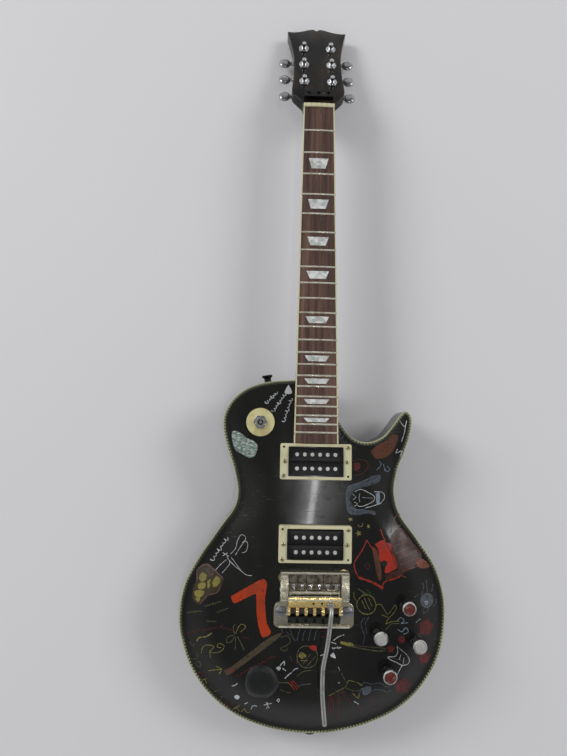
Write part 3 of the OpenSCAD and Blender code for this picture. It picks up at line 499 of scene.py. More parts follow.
lacquer = Finish("black_lacquer", (0.012, 0.012, 0.012), 0.12, Coat_Roughness=0.05, Specular_IOR_Level=0.36)
smears = lacquer.band(lacquer.noise(16, 6, (1, 0.5, 1)), 0.42, 0.72)
swirls = lacquer.noise(260, 3, (1, 3, 1))
rubs = lacquer.band(lacquer.noise(420, 2, (0.12, 1, 1)), 0.62, 0.72) * smears
dull = lacquer.mix(smears, (0.0085, 0.0085, 0.0075), (0.019, 0.0185, 0.0165))
lacquer.feed(Base_Color=lacquer.mix(rubs * 0.5, dull, (0.05, 0.05, 0.048)),
             Roughness=0.09 + smears * 0.12 + swirls * 0.06 + rubs * 0.2, Coat_Weight=0.4 - smears * 0.25)
lacquer.bumped(lacquer.noise(9, 2) + swirls * 0.02, 0.25, 0.002)
body.made("body", [lacquer], "black_lacquer", stands_for=["body_back", "body_top"], sharp=28)

# ---- Purfling ----
# A strip let into the edge of the cap: a thin yellowed line outside, then black with a row of small pale
# dashes like stitches. It is glued into a ledge and levelled with the cap.
strip = Shape()
n = len(rim)
section = [(0.0, EDGE - STRIP_DEEP, 0), (0.0, EDGE - 0.9, 0), (0.2, EDGE - 0.2, 0), (0.6, EDGE, 0),
           (1.3, EDGE + 0.02, 1), (1.6, EDGE + 0.02, 2), (2.8, EDGE + 0.02, 1), (STRIP, EDGE, 1),
           (STRIP, EDGE - STRIP_DEEP, 1)]
rings = [rim_ring(d, z) for d, z, _ in section]
for k, (_, _, tone) in enumerate(section):
    up = (k + 1) % len(section)
    for i in range(n):
        j = (i + 1) % n
        shade = tone if tone < 2 else (2 if i % 2 else 1)
        strip.add([rings[k][i], rings[k][j], rings[up][j], rings[up][i]], [[0, 1, 2, 3]], tone=shade)
aged_line = Finish("aged_line", (0.62, 0.63, 0.42), 0.4)
aged_line.feed(Base_Color=aged_line.mix(aged_line.noise(60, 5), (0.2, 0.21, 0.11), (0.6, 0.61, 0.38)),
               Roughness=0.35 + aged_line.noise(300) * 0.3)
strip_black = Finish("strip_black", (0.012, 0.014, 0.009), 0.3)
strip_black.feed(Base_Color=strip_black.mix(strip_black.noise(90, 4), (0.008, 0.01, 0.006),
                                            (0.035, 0.04, 0.02)))
stitch = Finish("stitch", (0.5, 0.5, 0.32), 0.45)
faded = stitch.band(stitch.noise(14, 3), 0.4, 0.62)
stitch.feed(Base_Color=stitch.mix(faded, (0.07, 0.075, 0.035), (0.5, 0.48, 0.27)),
            Roughness=0.4 + stitch.noise(500) * 0.2)
strip.made("purfling", [aged_line, strip_black, stitch], "purfling", stands_for=["body_binding"], sharp=50)

# ---- Painted marks ----
# Doodles that its players brushed and penned on the lacquer: curls, ribs, petals, rosettes and one broad
# orange stroke, all thin and chipped. A sliver of shell and a lump of black putty are glued on with them.
# Each mark is (width, points) in whole millimetres, and a width of 0 is a filled patch.
MARKS = {
    "lump": [
        (0, [(-75, -737), (-67, -735), (-59, -735), (-49, -740), (-43, -750), (-41, -758), (-46, -767),
        (-54, -773), (-66, -774), (-77, -771), (-82, -761), (-81, -748)])],
    "haze": [
        (0, [(38, -529), (42, -518), (58, -512), (71, -506), (83, -504), (82, -512), (70, -517), (58, -520),
        (49, -524), (44, -532), (41, -536)]), (0, [(39, -532), (45, -538), (51, -546), (63, -547), (75,
        -549), (76, -554), (67, -552), (48, -554), (40, -548)])],
    "feather": [
        (0, [(96, -580), (106, -571), (115, -573), (125, -588), (137, -601), (131, -613), (115, -622), (105,
        -620), (101, -606), (96, -597)]), (0, [(72, -592), (79, -597), (83, -614), (84, -631), (79, -630),
        (75, -614)]), (0, [(88, -626), (105, -620), (115, -622), (102, -630), (90, -634)])],
    "umber": [
        (0, [(-145, -625), (-134, -618), (-126, -622), (-112, -632), (-114, -640), (-119, -650), (-130,
        -654), (-141, -665), (-149, -661), (-150, -650), (-146, -637)])],
    "slate": [
        (0, [(60, -761), (69, -758), (72, -762), (69, -768), (62, -769)]), (0, [(151, -658), (150, -662),
        (146, -666), (142, -667), (138, -666), (134, -662), (133, -658), (134, -653), (138, -650), (142,
        -649), (146, -650), (150, -653)]), (0.8, [(-20, -706), (-18, -696), (-16, -692)]), (0.8, [(-13,
        -706), (-12, -697), (-9, -693)]), (0.8, [(-6, -706), (-4, -695), (-2, -692)]), (0.8, [(1, -705), (3,
        -696), (5, -693)]), (0.8, [(-25, -703), (-27, -696), (-29, -693)]), (0.8, [(-40, -691), (-37,
        -697)]), (0.8, [(-34, -695), (-27, -700), (-22, -706)]), (0.9, [(-17, -759), (-12, -757), (-2,
        -756)]), (0.8, [(63, -678), (59, -683), (60, -692), (63, -699), (61, -709)]), (0.8, [(68, -677),
        (64, -685), (66, -697)]), (0.9, [(35, -743), (39, -751)]), (1.1, [(58, -758), (64, -754), (72,
        -756), (83, -755), (91, -760), (96, -757)]), (1.0, [(57, -768), (60, -761)]), (1.1, [(71, -765),
        (77, -763), (86, -764), (92, -767), (97, -765)]), (1.0, [(135, -651), (138, -641), (136, -637)]),
        (1.0, [(143, -648), (142, -634)]), (1.0, [(149, -648), (151, -639)]), (1.0, [(125, -653), (130,
        -650)]), (1.0, [(138, -666), (136, -673), (141, -671)]), (1.0, [(144, -667), (143, -671)]), (1.0,
        [(150, -666), (155, -662), (154, -657)]), (1.6, [(39, -529), (42, -519), (58, -513), (71, -507)]),
        (1.6, [(39, -531), (41, -547), (48, -552), (67, -550), (75, -553)]), (1.6, [(42, -525), (46, -520),
        (57, -516)]), (1.6, [(44, -544), (52, -547), (63, -547)]), (1.6, [(60, -515), (73, -512), (83,
        -506)]), (0.9, [(31, -441), (37, -450), (34, -459)]), (0.9, [(37, -452), (46, -460)]), (1.2, [(29,
        -442), (32, -455)])],
    "mauve": [
        (1.6, [(-145, -637), (-145, -625), (-134, -618), (-125, -623), (-113, -633)]), (1.1, [(-114, -640),
        (-119, -650), (-130, -654), (-140, -665)]), (1.0, [(-133, -623), (-129, -630), (-124, -628)]), (0.8,
        [(-152, -712), (-148, -716), (-145, -713)])],
    "tan": [
        (0, [(-108, -742), (-98, -736), (-81, -723), (-59, -706), (-42, -697), (-40, -700), (-56, -713),
        (-75, -727), (-91, -739), (-104, -748)]), (1.0, [(-151, -726), (-149, -732), (-144, -732), (-141,
        -729), (-143, -724)]), (0.8, [(-126, -764), (-120, -768)]), (0.9, [(-113, -777), (-106, -775)]),
        (0.9, [(-110, -776), (-112, -781)]), (0.8, [(-28, -723), (-26, -730)]), (1.3, [(48, -710), (64,
        -712), (80, -713), (90, -714)]), (0.8, [(30, -767), (34, -778)]), (0.8, [(35, -764), (42, -776)]),
        (0.8, [(97, -725), (106, -727), (116, -730)])],
    "brown": [
        (0, [(71, -475), (79, -467), (89, -462), (97, -454), (104, -452), (107, -455), (104, -465), (99,
        -475), (91, -481), (79, -484), (74, -480)]), (0, [(71, -592), (77, -596), (82, -614), (83, -631),
        (80, -631), (76, -615)]), (1.7, [(96, -576), (100, -562), (104, -556), (109, -553)]), (1.7, [(97,
        -584), (109, -578), (115, -574)]), (1.7, [(99, -592), (118, -587)]), (1.7, [(102, -600), (115,
        -596), (129, -591)]), (1.7, [(105, -607), (118, -602), (131, -598)]), (1.7, [(107, -614), (123,
        -609), (137, -607)]), (1.7, [(109, -622), (125, -618), (134, -616)]), (1.7, [(105, -570), (110,
        -567)]), (1.7, [(109, -627), (115, -629)])],
    "dark_red": [
        (0, [(138, -698), (132, -697), (132, -690), (132, -684), (138, -682), (144, -680), (147, -685),
        (151, -689), (148, -694), (145, -700)]), (0, [(139, -734), (133, -734), (132, -728), (131, -724),
        (136, -721), (140, -718), (144, -722), (148, -725), (146, -729), (144, -734)]), (0, [(107, -753),
        (113, -749), (118, -753), (124, -757), (121, -764), (119, -770), (112, -770), (105, -770), (103,
        -763), (101, -757)]), (0, [(95, -718), (92, -718), (92, -715), (91, -712), (94, -711), (97, -710),
        (99, -712), (101, -714), (99, -716), (98, -719)]), (0, [(105, -702), (106, -699), (109, -699), (112,
        -700), (113, -702), (113, -705), (111, -707), (108, -708), (106, -706), (104, -704)]), (0, [(48,
        -490), (55, -489), (57, -495), (49, -500)]), (0.9, [(-96, -698), (-102, -693), (-114, -691), (-110,
        -688)]), (0.7, [(-87, -702), (-78, -704)]), (1.0, [(-141, -750), (-137, -754), (-134, -752), (-135,
        -748), (-140, -748)]), (1.0, [(-106, -783), (-100, -787), (-97, -782)]), (1.6, [(-19, -724), (-20,
        -733)]), (0.9, [(9, -701), (19, -699)]), (0.9, [(8, -695), (19, -693)]), (1.1, [(21, -771), (20,
        -784), (21, -796)]), (1.1, [(24, -770), (26, -784), (26, -795)]), (1.1, [(27, -768), (32, -782),
        (32, -804)]), (1.1, [(32, -765), (37, -776)]), (1.1, [(37, -763), (47, -779)]), (1.1, [(23, -771),
        (23, -790)]), (0.9, [(63, -782), (60, -789), (64, -798)]), (0.9, [(69, -772), (77, -781), (76,
        -796)]), (1.0, [(47, -487), (57, -485), (66, -488), (66, -496), (58, -503), (49, -505)]), (0.8,
        [(47, -477), (47, -485)]), (1.0, [(62, -614), (66, -619), (69, -615), (64, -612)]), (1.6, [(99,
        -586), (106, -581)]), (1.6, [(109, -603), (121, -598)]), (1.6, [(117, -592), (123, -588)])],
    "red_stain": [
        (1.0, [(138, -694), (136, -690), (138, -686), (142, -685), (145, -688), (145, -692), (142, -694)]),
        (1.0, [(140, -731), (136, -730), (135, -727), (137, -724), (140, -723), (143, -725), (143, -729)]),
        (1.0, [(118, -762), (115, -765), (110, -765), (107, -762), (108, -758), (112, -756), (116, -757)]),
        (1.0, [(98, -713), (98, -715), (97, -717), (95, -716), (94, -715), (94, -713), (96, -712)]), (1.0,
        [(108, -701), (110, -701), (111, -702), (111, -704), (109, -705), (107, -705), (106, -703)])],
    "moss": [
        (0.8, [(-96, -699), (-98, -691), (-96, -687)]), (0.9, [(-97, -700), (-104, -702), (-106, -708),
        (-101, -708), (-96, -702)]), (1.0, [(-93, -701), (-87, -711), (-84, -718)]), (0.7, [(-95, -702),
        (-95, -717)]), (0.8, [(-144, -737), (-141, -741), (-137, -740), (-138, -736), (-142, -735)]), (0.8,
        [(-120, -771), (-112, -767)]), (1.1, [(6, -724), (3, -733), (-5, -737), (-13, -736), (-19, -729),
        (-19, -720), (-14, -713), (-5, -712), (3, -716), (6, -724)]), (0.8, [(-12, -733), (-3, -721)]),
        (0.8, [(-7, -735), (3, -724)]), (0.8, [(-42, -755), (-31, -755), (-24, -759)]), (0.7, [(-40, -763),
        (-27, -767)]), (0.8, [(-40, -702), (-32, -700), (-28, -706), (-32, -711), (-40, -715), (-34, -718),
        (-31, -714)]), (0.8, [(-20, -748), (-12, -742), (-1, -740)]), (1.2, [(54, -643), (59, -646), (64,
        -649)]), (0.8, [(89, -692), (96, -685), (106, -684)]), (1.3, [(48, -712), (64, -715), (80, -717),
        (89, -716)]), (0.9, [(39, -760), (51, -764), (58, -763)]), (1.3, [(20, -770), (31, -764), (39,
        -760), (43, -754)])],
    "green": [
        (1.4, [(66, -644), (69, -649), (60, -649)])],
    "ochre": [
        (0, [(-143, -634), (-139, -628), (-133, -631), (-134, -636), (-140, -639)]), (0, [(-144, -643),
        (-140, -640), (-134, -640), (-135, -646), (-142, -648)]), (0, [(-148, -651), (-143, -649), (-135,
        -650), (-138, -656), (-146, -657)]), (0, [(-132, -638), (-128, -635), (-128, -643), (-131, -646)]),
        (0, [(-126, -639), (-121, -631), (-115, -635), (-119, -642), (-124, -644)]), (0, [(-147, -659),
        (-140, -657), (-142, -663)]), (0, [(-18, -724), (-15, -719), (-8, -723), (-13, -727)]), (0, [(34,
        -706), (48, -708), (48, -712), (34, -709)]), (0, [(46, -559), (47, -561), (45, -560), (43, -562),
        (43, -560), (41, -559), (43, -558), (43, -556), (45, -558), (47, -557)]), (0, [(68, -567), (69,
        -569), (67, -569), (66, -570), (66, -568), (64, -567), (66, -567), (66, -564), (67, -566), (69,
        -565)]), (0, [(56, -576), (58, -578), (55, -578), (53, -580), (53, -577), (50, -576), (53, -575),
        (53, -572), (55, -574), (58, -574)]), (0.8, [(-95, -698), (-91, -689), (-87, -687), (-83, -690),
        (-89, -696)]), (1.6, [(-143, -710), (-139, -705), (-131, -703), (-124, -698)]), (0.9, [(-137, -724),
        (-135, -717), (-130, -713), (-121, -714), (-126, -721), (-117, -721), (-110, -717), (-109, -712),
        (-115, -710), (-117, -714), (-112, -715)]), (0.9, [(-126, -721), (-125, -728)]), (1.1, [(-127,
        -745), (-121, -743), (-111, -741)]), (1.1, [(-118, -738), (-111, -741), (-114, -747)]), (0.8,
        [(-135, -757), (-129, -755)]), (0.8, [(-132, -756), (-129, -761)]), (0.9, [(-96, -791), (-88,
        -786)]), (0.9, [(-93, -789), (-88, -793)]), (0.9, [(-86, -794), (-82, -790), (-80, -794), (-75,
        -794)]), (0.9, [(-15, -729), (-7, -729)]), (1.0, [(77, -662), (75, -669), (69, -673), (62, -673),
        (56, -669), (53, -662), (56, -655), (61, -651), (69, -651), (74, -655), (77, -662)]), (0.8, [(59,
        -657), (64, -667)]), (0.8, [(62, -654), (69, -668)]), (0.7, [(67, -654), (72, -664)]), (0.8, [(49,
        -647), (50, -654), (54, -659)]), (0.7, [(77, -662), (83, -662), (88, -669), (92, -673), (101, -662),
        (101, -669), (92, -679), (89, -685)]), (0.7, [(84, -674), (92, -677)]), (0.7, [(89, -685), (97,
        -682), (106, -681)]), (0.9, [(41, -754), (45, -752), (54, -754), (61, -758)]), (1.0, [(49, -767),
        (56, -773), (57, -768)]), (0.8, [(54, -565), (55, -568), (59, -567), (60, -563)])],
    "rust": [
        (0, [(128, -613), (137, -608), (147, -616), (145, -619), (134, -619)])],
    "red": [
        (0, [(-6, -712), (3, -711), (4, -717), (-2, -716)]), (0, [(75, -589), (85, -584), (89, -587), (96,
        -589), (96, -598), (101, -606), (103, -617), (99, -620), (88, -624), (88, -614), (81, -608), (80,
        -597)]), (0.8, [(-103, -741), (-100, -745)]), (0.8, [(-101, -739), (-98, -744)]), (0.8, [(-98,
        -738), (-95, -742)]), (0.9, [(-30, -754), (-22, -763)]), (0.9, [(-27, -753), (-19, -762)]), (0.9,
        [(-24, -752), (-17, -760)]), (1.6, [(65, -584), (59, -597), (50, -611), (51, -622), (56, -630)]),
        (3.0, [(56, -630), (69, -634), (80, -639), (85, -643)]), (1.3, [(85, -643), (87, -635), (102, -630),
        (109, -626)]), (1.2, [(65, -584), (70, -592), (75, -597)]), (1.4, [(83, -571), (85, -578), (89,
        -586)])],
    "orange": [
        (0, [(-102, -654), (-83, -643), (-64, -633), (-58, -639), (-60, -654), (-59, -674), (-57, -686),
        (-52, -697), (-62, -702), (-67, -690), (-70, -674), (-71, -655), (-73, -651), (-86, -657), (-98,
        -662)])],
    "pale_blue": [
        (0, [(77, -527), (82, -526), (82, -539), (78, -540)]), (0.8, [(104, -680), (108, -677), (112, -681),
        (108, -684), (117, -683)]), (0.9, [(104, -691), (109, -694), (114, -689), (117, -694), (111,
        -697)]), (0.7, [(81, -486), (84, -491), (78, -498)]), (0.7, [(87, -490), (89, -499)]), (0.7, [(92,
        -493), (96, -497), (92, -500), (89, -496)]), (0.7, [(59, -532), (73, -533)])],
    "shell": [
        (0, [(-107, -453), (-101, -452), (-94, -456), (-87, -461), (-80, -464), (-74, -470), (-76, -481),
        (-80, -485), (-86, -485), (-93, -481), (-101, -477), (-105, -470), (-107, -460)])],
    "white": [
        (0, [(-36, -391), (-41, -402), (-31, -402)]), (0, [(-95, -774), (-91, -772), (-88, -775), (-91,
        -778), (-94, -777)]), (0, [(-45, -738), (-42, -736), (-39, -737), (-41, -741)]), (0, [(25, -719),
        (21, -723), (28, -726)]), (0.7, [(-104, -604), (-98, -597), (-96, -588), (-92, -581), (-87, -582),
        (-86, -586), (-90, -590)]), (0.7, [(-98, -605), (-90, -592), (-85, -588), (-83, -593), (-85, -600),
        (-90, -602)]), (0.8, [(-108, -606), (-107, -610), (-98, -618), (-91, -623), (-84, -628), (-77,
        -629)]), (0.6, [(-103, -608), (-93, -620), (-90, -624)]), (0.7, [(-122, -624), (-116, -617), (-109,
        -611)]), (0.7, [(-114, -627), (-105, -616), (-106, -611)]), (0.7, [(-114, -603), (-106, -607)]),
        (0.7, [(-114, -607), (-108, -603)]), (1.1, [(-98, -761), (-95, -760), (-91, -757)]), (1.1, [(-82,
        -783), (-78, -781)]), (1.0, [(-74, -790), (-72, -785), (-67, -785)]), (0.9, [(-59, -783), (-49,
        -780)]), (0.9, [(-56, -779), (-52, -787)]), (0.9, [(-54, -779), (-55, -788)]), (0.9, [(-43, -776),
        (-41, -774), (-40, -776), (-41, -778), (-43, -776)]), (1.2, [(-40, -735), (-35, -730), (-35,
        -735)]), (1.2, [(-37, -738), (-33, -741)]), (1.1, [(-34, -750), (-30, -746), (-26, -743)]), (1.0,
        [(-25, -742), (-22, -739), (-18, -738)]), (0.9, [(25, -705), (30, -701), (38, -698)]), (1.0, [(22,
        -707), (28, -709)]), (0.9, [(9, -723), (14, -721)]), (0.7, [(31, -736), (33, -740)]), (0.7, [(31,
        -755), (33, -754)]), (1.0, [(51, -777), (57, -781)]), (0.9, [(103, -711), (109, -716), (116, -722),
        (119, -729), (117, -733), (110, -734), (102, -730), (95, -727), (92, -724), (101, -723), (104,
        -717), (103, -711)]), (0.9, [(110, -734), (106, -741), (103, -747)]), (0.7, [(108, -721), (106,
        -727)]), (0.6, [(112, -725), (111, -732)]), (0.8, [(143, -660), (142, -662), (140, -662), (139,
        -660), (140, -659), (142, -659), (143, -660)]), (0.7, [(127, -683), (133, -679)]), (0.9, [(109,
        -435), (115, -442), (118, -434), (116, -443), (115, -449), (111, -462)]), (0.8, [(106, -471), (104,
        -476), (112, -473), (110, -479), (114, -481)]), (0.8, [(50, -525), (57, -522), (67, -526), (75,
        -531), (73, -537), (59, -543), (53, -542)]), (0.6, [(56, -527), (55, -532), (56, -538)]), (0.8,
        [(75, -525), (86, -526), (89, -532), (84, -539), (75, -542), (63, -545)]), (0.6, [(47, -528), (51,
        -532), (47, -535)]), (0.6, [(49, -538), (53, -540), (49, -543)])],
    "black_spot": [
        (0, [(91, -612), (89, -616), (85, -616), (84, -612), (85, -609), (89, -609)]), (0.9, [(89, -586),
        (96, -600), (102, -615)])],
}
SCRIBBLES = [
    ("white", 0.9, (-65, -416), (-51, -402), 3.6, 6), ("white", 1.1, (-56, -427), (-40, -403), 3.3, 7),
    ("white", 0.9, (-42, -440), (-32, -409), 3.6, 7), ("white", 0.8, (-128, -614), (-109, -585), 4.0, 7),
    ("moss", 0.7, (-158, -677), (-138, -673), 2.0, 6), ("moss", 0.7, (-135, -667), (-114, -660), 2.0, 6),
    ("moss", 0.7, (-119, -673), (-105, -668), 1.7, 5), ("moss", 0.6, (-131, -684), (-119, -684), 1.7, 5),
    ("dark_red", 0.8, (-158, -704), (-140, -694), 2.6, 6),
    ("dark_red", 0.8, (-138, -696), (-118, -691), 2.3, 6),
    ("dark_red", 0.9, (-93, -748), (-47, -723), 3.8, 9), ("white", 0.9, (23, -714), (34, -713), 1.8, 5)]
# each paint's colour, and how much of it has worn away
PAINTS = {"lump": ((0.012, 0.013, 0.013), 0.0), "haze": ((0.06, 0.075, 0.095), 0.9),
          "feather": ((0.06, 0.014, 0.007), 0.9), "umber": ((0.05, 0.035, 0.014), 0.1),
          "slate": ((0.1, 0.12, 0.15), 0.5), "mauve": ((0.17, 0.09, 0.09), 0.3),
          "tan": ((0.09, 0.065, 0.035), 0.5), "brown": ((0.12, 0.042, 0.02), 0.3),
          "dark_red": ((0.12, 0.012, 0.012), 0.6), "red_stain": ((0.24, 0.016, 0.016), 0.4),
          "moss": ((0.12, 0.13, 0.06), 0.4), "green": ((0.045, 0.1, 0.012), 0.3),
          "ochre": ((0.27, 0.23, 0.055), 0.3), "rust": ((0.25, 0.05, 0.017), 0.2),
          "red": ((0.42, 0.03, 0.014), 0.1), "orange": ((0.52, 0.05, 0.006), 0.0),
          "pale_blue": ((0.24, 0.3, 0.37), 0.3), "shell": ((0.27, 0.33, 0.31), 0.0),
          "white": ((0.62, 0.64, 0.66), 0.1), "black_spot": ((0.01, 0.01, 0.01), 0.0)}
DOMES = {"lump": 2.6, "shell": 0.9}
SUNK = 0.5


def ribbon(shape, points, width, tone, lift):
    """A brush stroke along the points, a hair above the lacquer and a little uneven in width."""
    path = curve(points, 5)
    rings = []
    for i, p in enumerate(path):
        step = path[min(i + 1, len(path) - 1)] - path[max(i - 1, 0)]
        across = np.array([-step[1], step[0]]) / np.hypot(*step) * width * (0.42 + 0.1 * math.sin(1.7 * i))
        left, right = on_top(*(p + across), lift), on_top(*(p - across), lift)
        rings.append([left, right, (*right[:2], right[2] - SUNK), (*left[:2], left[2] - SUNK)])
    shape.loft(rings, tone=tone)


def patch(shape, points, rise, tone, lift):
    """A filled patch of paint, or with a rise a low dome, that follows the carved top."""
    loop = walked([tuple(p) for p in curve(points + points[:1], 4)][:-1], 1.4)
    low_x, low_y = np.min(loop, axis=0)
    high_x, high_y = np.max(loop, axis=0)
    inner = np.array([(x, y) for x in np.arange(low_x, high_x, 2.0) for y in np.arange(low_y, high_y, 2.0)])
    inner = inner[within(inner, loop)]
    inner = [tuple(p) for p, d in zip(inner, edge_distance(inner, loop)) if d > 0.8] if len(inner) else []
    flat, triangles = tiles([loop], [], inner)
    depth = np.clip(edge_distance(np.array(flat), loop) / 7, 0, 1)
    top = [on_top(x, y, lift + rise * math.sin(math.pi / 2 * d)) for (x, y), d in zip(flat, depth)]
    n = len(loop)
    skirt = [[i, (i + 1) % n, len(flat) + (i + 1) % n, len(flat) + i] for i in range(n)]
    under = [[len(flat) + i for i in t] for t in triangles]
    shape.add(top + [on_top(x, y, -SUNK) for x, y in flat], triangles + skirt + under, tone=tone)


def scribble(start, end, height, loops):
    """Points of a hand-drawn row of loops."""
    start, end = np.array(start, float), np.array(end, float)
    along = (end - start) / np.hypot(*(end - start))
    across = np.array([-along[1], along[0]])
    points = []
    for k in range(4 * loops + 1):
        a = math.pi / 2 * k
        size = height * (0.375 + 0.25 * math.sin(2.3 * (k // 4) + 1))
        loop = across * math.sin(a) + along * 0.7 * math.cos(a)
        points.append(start + (end - start) * k / (4 * loops) + loop * size)
    return points


for name, width, start, end, height, loops in SCRIBBLES:
    MARKS[name].append((width, scribble(start, end, height, loops)))
painted = Shape()
paints = []
for tone, (name, strokes) in enumerate(MARKS.items()):
    colour, lost = PAINTS[name]
    finish = Finish("paint_" + name, colour, 0.4)
    chips = finish.band(finish.noise(330 - 150 * lost, 7), 0.6 - 0.17 * lost, 0.7)
    faint = finish.band(finish.noise(60, 5), 0.3, 0.75)
    worn = finish.mix(faint * 0.7, colour, tuple(0.45 * c for c in colour))
    if name == "shell":
        veins = finish.band(finish.noise(260, 6, (1, 2.2, 1)), 0.45, 0.62)
        worn = finish.mix(veins, (0.13, 0.2, 0.17), (0.5, 0.54, 0.5))
        chips = chips * 0.3
    finish.feed(Base_Color=finish.mix(chips * 0.85, worn, (0.012, 0.012, 0.012)),
                Roughness=0.24 + faint * 0.3)
    paints.append(finish)
    for width, points in strokes:
        if width:
            ribbon(painted, points, width, tone, 0.1 + 0.02 * tone)
        else:
            patch(painted, points, DOMES.get(name, 0), tone, 0.1 + 0.02 * tone)
painted.made("painted_marks", paints, "black_lacquer", sharp=60)

# ---- Neck ----
# One long piece of mahogany, rounded behind, swelling into a heel, with the headstock leaning back behind
# the nut. Black lacquer turns wine-red where it thins on the headstock face.
neck = Shape()
NUT_W, BOARD_END_W = 43.0, 56.5
BOARD_L = fret_at(22) + 13.7


def board_half(d):
    return (NUT_W + (BOARD_END_W - NUT_W) * d / BOARD_L) / 2


run = np.arange(-4, HEEL - 4, 4.0)
stations = [-4, 20, HEEL - 46, HEEL - 30, HEEL - 16, HEEL - 5]
kernel = np.array([1, 2, 3, 2, 1]) / 9


def eased(values):
    return np.convolve(np.pad(np.interp(run, stations, values), 2, mode="edge"), kernel, mode="valid")


neck_depths = eased([13.5, 15, 18, 20.2, 26.1, 36.9])
neck_powers = eased([0.85, 0.85, 0.8, 0.72, 0.62, 0.55])


def neck_section(y, half, depth, power):
    ring = []
    for a in (math.radians(360 - 5 * k) for k in range(37)):
        ring.append((half * math.copysign(abs(math.cos(a)) ** power, math.cos(a)), y,
                     -BOARD_T - depth * abs(math.sin(a)) ** power))
    return ring


sections = [neck_section(-d, min(board_half(max(d, 0)), board_half(0) - 0.3 if d < 0 else 99), h, p)
            for d, h, p in zip(run, neck_depths, neck_powers)]
foot = [(x, -HEEL + (SHOULDER + HEEL - z * math.sin(SLOPE)) / math.cos(SLOPE), z)
        for x, y, z in neck_section(0, board_half(HEEL + 5), 41.4, 0.5)]
neck.loft(sections + [foot], NECK)
head_side = curve([(21.5, 0), (23, 8), (30, 17), (37, 28), (37.2, 42), (35.5, 60), (34.5, 84), (35, 108),
                   (37.5, 128), (41, 148), (44, 162)], 4)
head_crown = curve([(44, 163), (34, 162.8), (22, 165.5), (12, 169.5), (5, 171)], 4)
half = [tuple(p) for p in head_side + head_crown] + [(0, 167.5)]
head_outline = half + [(-x, y) for x, y in half[-2::-1]]
HEAD_T = 15.0
POST_ROW, POST_FIRST, POST_PITCH = 40.0, 50.5, 36.5
TUNERS = [(side, POST_FIRST + POST_PITCH * place) for side in (-1, 1) for place in (2, 1, 0)]
neck.plate(head_outline, [circle(side * POST_ROW / 2, s, 5) for side, s in TUNERS], -HEAD_T, 0, 1.2, HEAD)
neck_lacquer = Finish("neck_lacquer", (0.02, 0.012, 0.011), 0.14, Specular_IOR_Level=0.22)
wine = neck_lacquer.band(neck_lacquer.noise(24, 4, (1, 0.5, 1)), 0.45, 0.68)
handled = neck_lacquer.band(neck_lacquer.noise(38, 6, (1, 0.25, 1)), 0.5, 0.75)
neck_lacquer.feed(Base_Color=neck_lacquer.mix(wine * 0.7, (0.008, 0.0075, 0.007), (0.048, 0.033, 0.018)),
                  Roughness=0.1 + handled * 0.16)
neck_lacquer.bumped(neck_lacquer.noise(12, 2), 0.2, 0.002)
neck.made("neck_wood", [neck_lacquer], "neck_lacquer", stands_for=["neck"], sharp=30)

# ---- Fretboard, edge strips and inlays ----
# A rosewood board with dry open grain, darker between the frets where fingers polished it, edged with two
# yellowed plastic strips and let in with pearl blocks.
rosewood = Finish("rosewood", (0.15, 0.07, 0.045), 0.5)
streaks = rosewood.noise(130, 7, (1, 0.035, 1), 0.6)
pores = rosewood.band(rosewood.noise(900, 2, (1, 0.05, 1)), 0.58, 0.7)
figure = rosewood.node("ValToRGB", {"stops": [(0.28, (0.028, 0.014, 0.011)), (0.46, (0.085, 0.041, 0.029)),
                                              (0.58, (0.145, 0.076, 0.053)), (0.74, (0.22, 0.125, 0.088))]},
                       {"Fac": streaks})
rosewood.feed(Base_Color=rosewood.mix(pores * 0.65, figure, (0.02, 0.01, 0.008)),
              Roughness=0.42 + streaks * 0.25)
rosewood.bumped(pores * -1.0 + streaks * 0.3, 0.5, 0.0004)
rosewood.on("fretboard")
pearl = Finish("pearl", (0.72, 0.74, 0.7), 0.2, Coat_Roughness=0.05, Coat_Weight=0.6)
clouds = pearl.node("TexVoronoi", {"feature": "F1"}, {"Vector": pearl.place, "Scale": 210.0}, out="Color")
veil = pearl.node("SeparateColor", inputs={"Color": clouds})
layers = veil * 0.8 + pearl.noise(160, 3) * 0.2
pearl.feed(Base_Color=pearl.mix(layers, (0.4, 0.43, 0.41), (0.97, 0.98, 0.95)),
           Roughness=0.16 + pearl.noise(90) * 0.2)
pearl.on("fret_inlays")
cream = Finish("cream_plastic", (0.68, 0.66, 0.42), 0.32)
cream.patchy(45, 6, (0.5, 0.75), ((0.74, 0.71, 0.46), (0.42, 0.36, 0.18)), (0.26, 0.25), 0.5)
cream.bumped(cream.noise(700, 2), 0.12, 0.0002)
cream.on("fretboard_edge_strips", "nut")

# ---- Frets ----
# Twenty-two lengths of drawn nickel-silver wire with a round crown, hammered into slots across the board
# and dressed level; brightest where strings ran.
BOARD_R = 305.0
frets = Shape()
for n_fret in range(1, 23):
    d = fret_at(n_fret)
    reach = board_half(d) - 0.2
    rings = []
    for x in np.linspace(-reach, reach, 11):
        lie_z = math.sqrt(BOARD_R ** 2 - x * x) - BOARD_R
        rings.append([(x, -d + 1.2 * math.cos(a), lie_z + 1.1 * math.sin(a) - 0.02)
                      for a in (math.pi * k / 8 for k in range(9))])
    frets.loft(rings)
fretwire = Finish("fretwire", (0.66, 0.63, 0.54), 0.3, 0.55)
fretwire.patchy(110, 5, (0.45, 0.7), ((0.86, 0.82, 0.7), (0.5, 0.45, 0.33)), (0.2, 0.3))
frets.made("fret_wires", [fretwire], "fretwire", where=NECK, stands_for=["frets"])

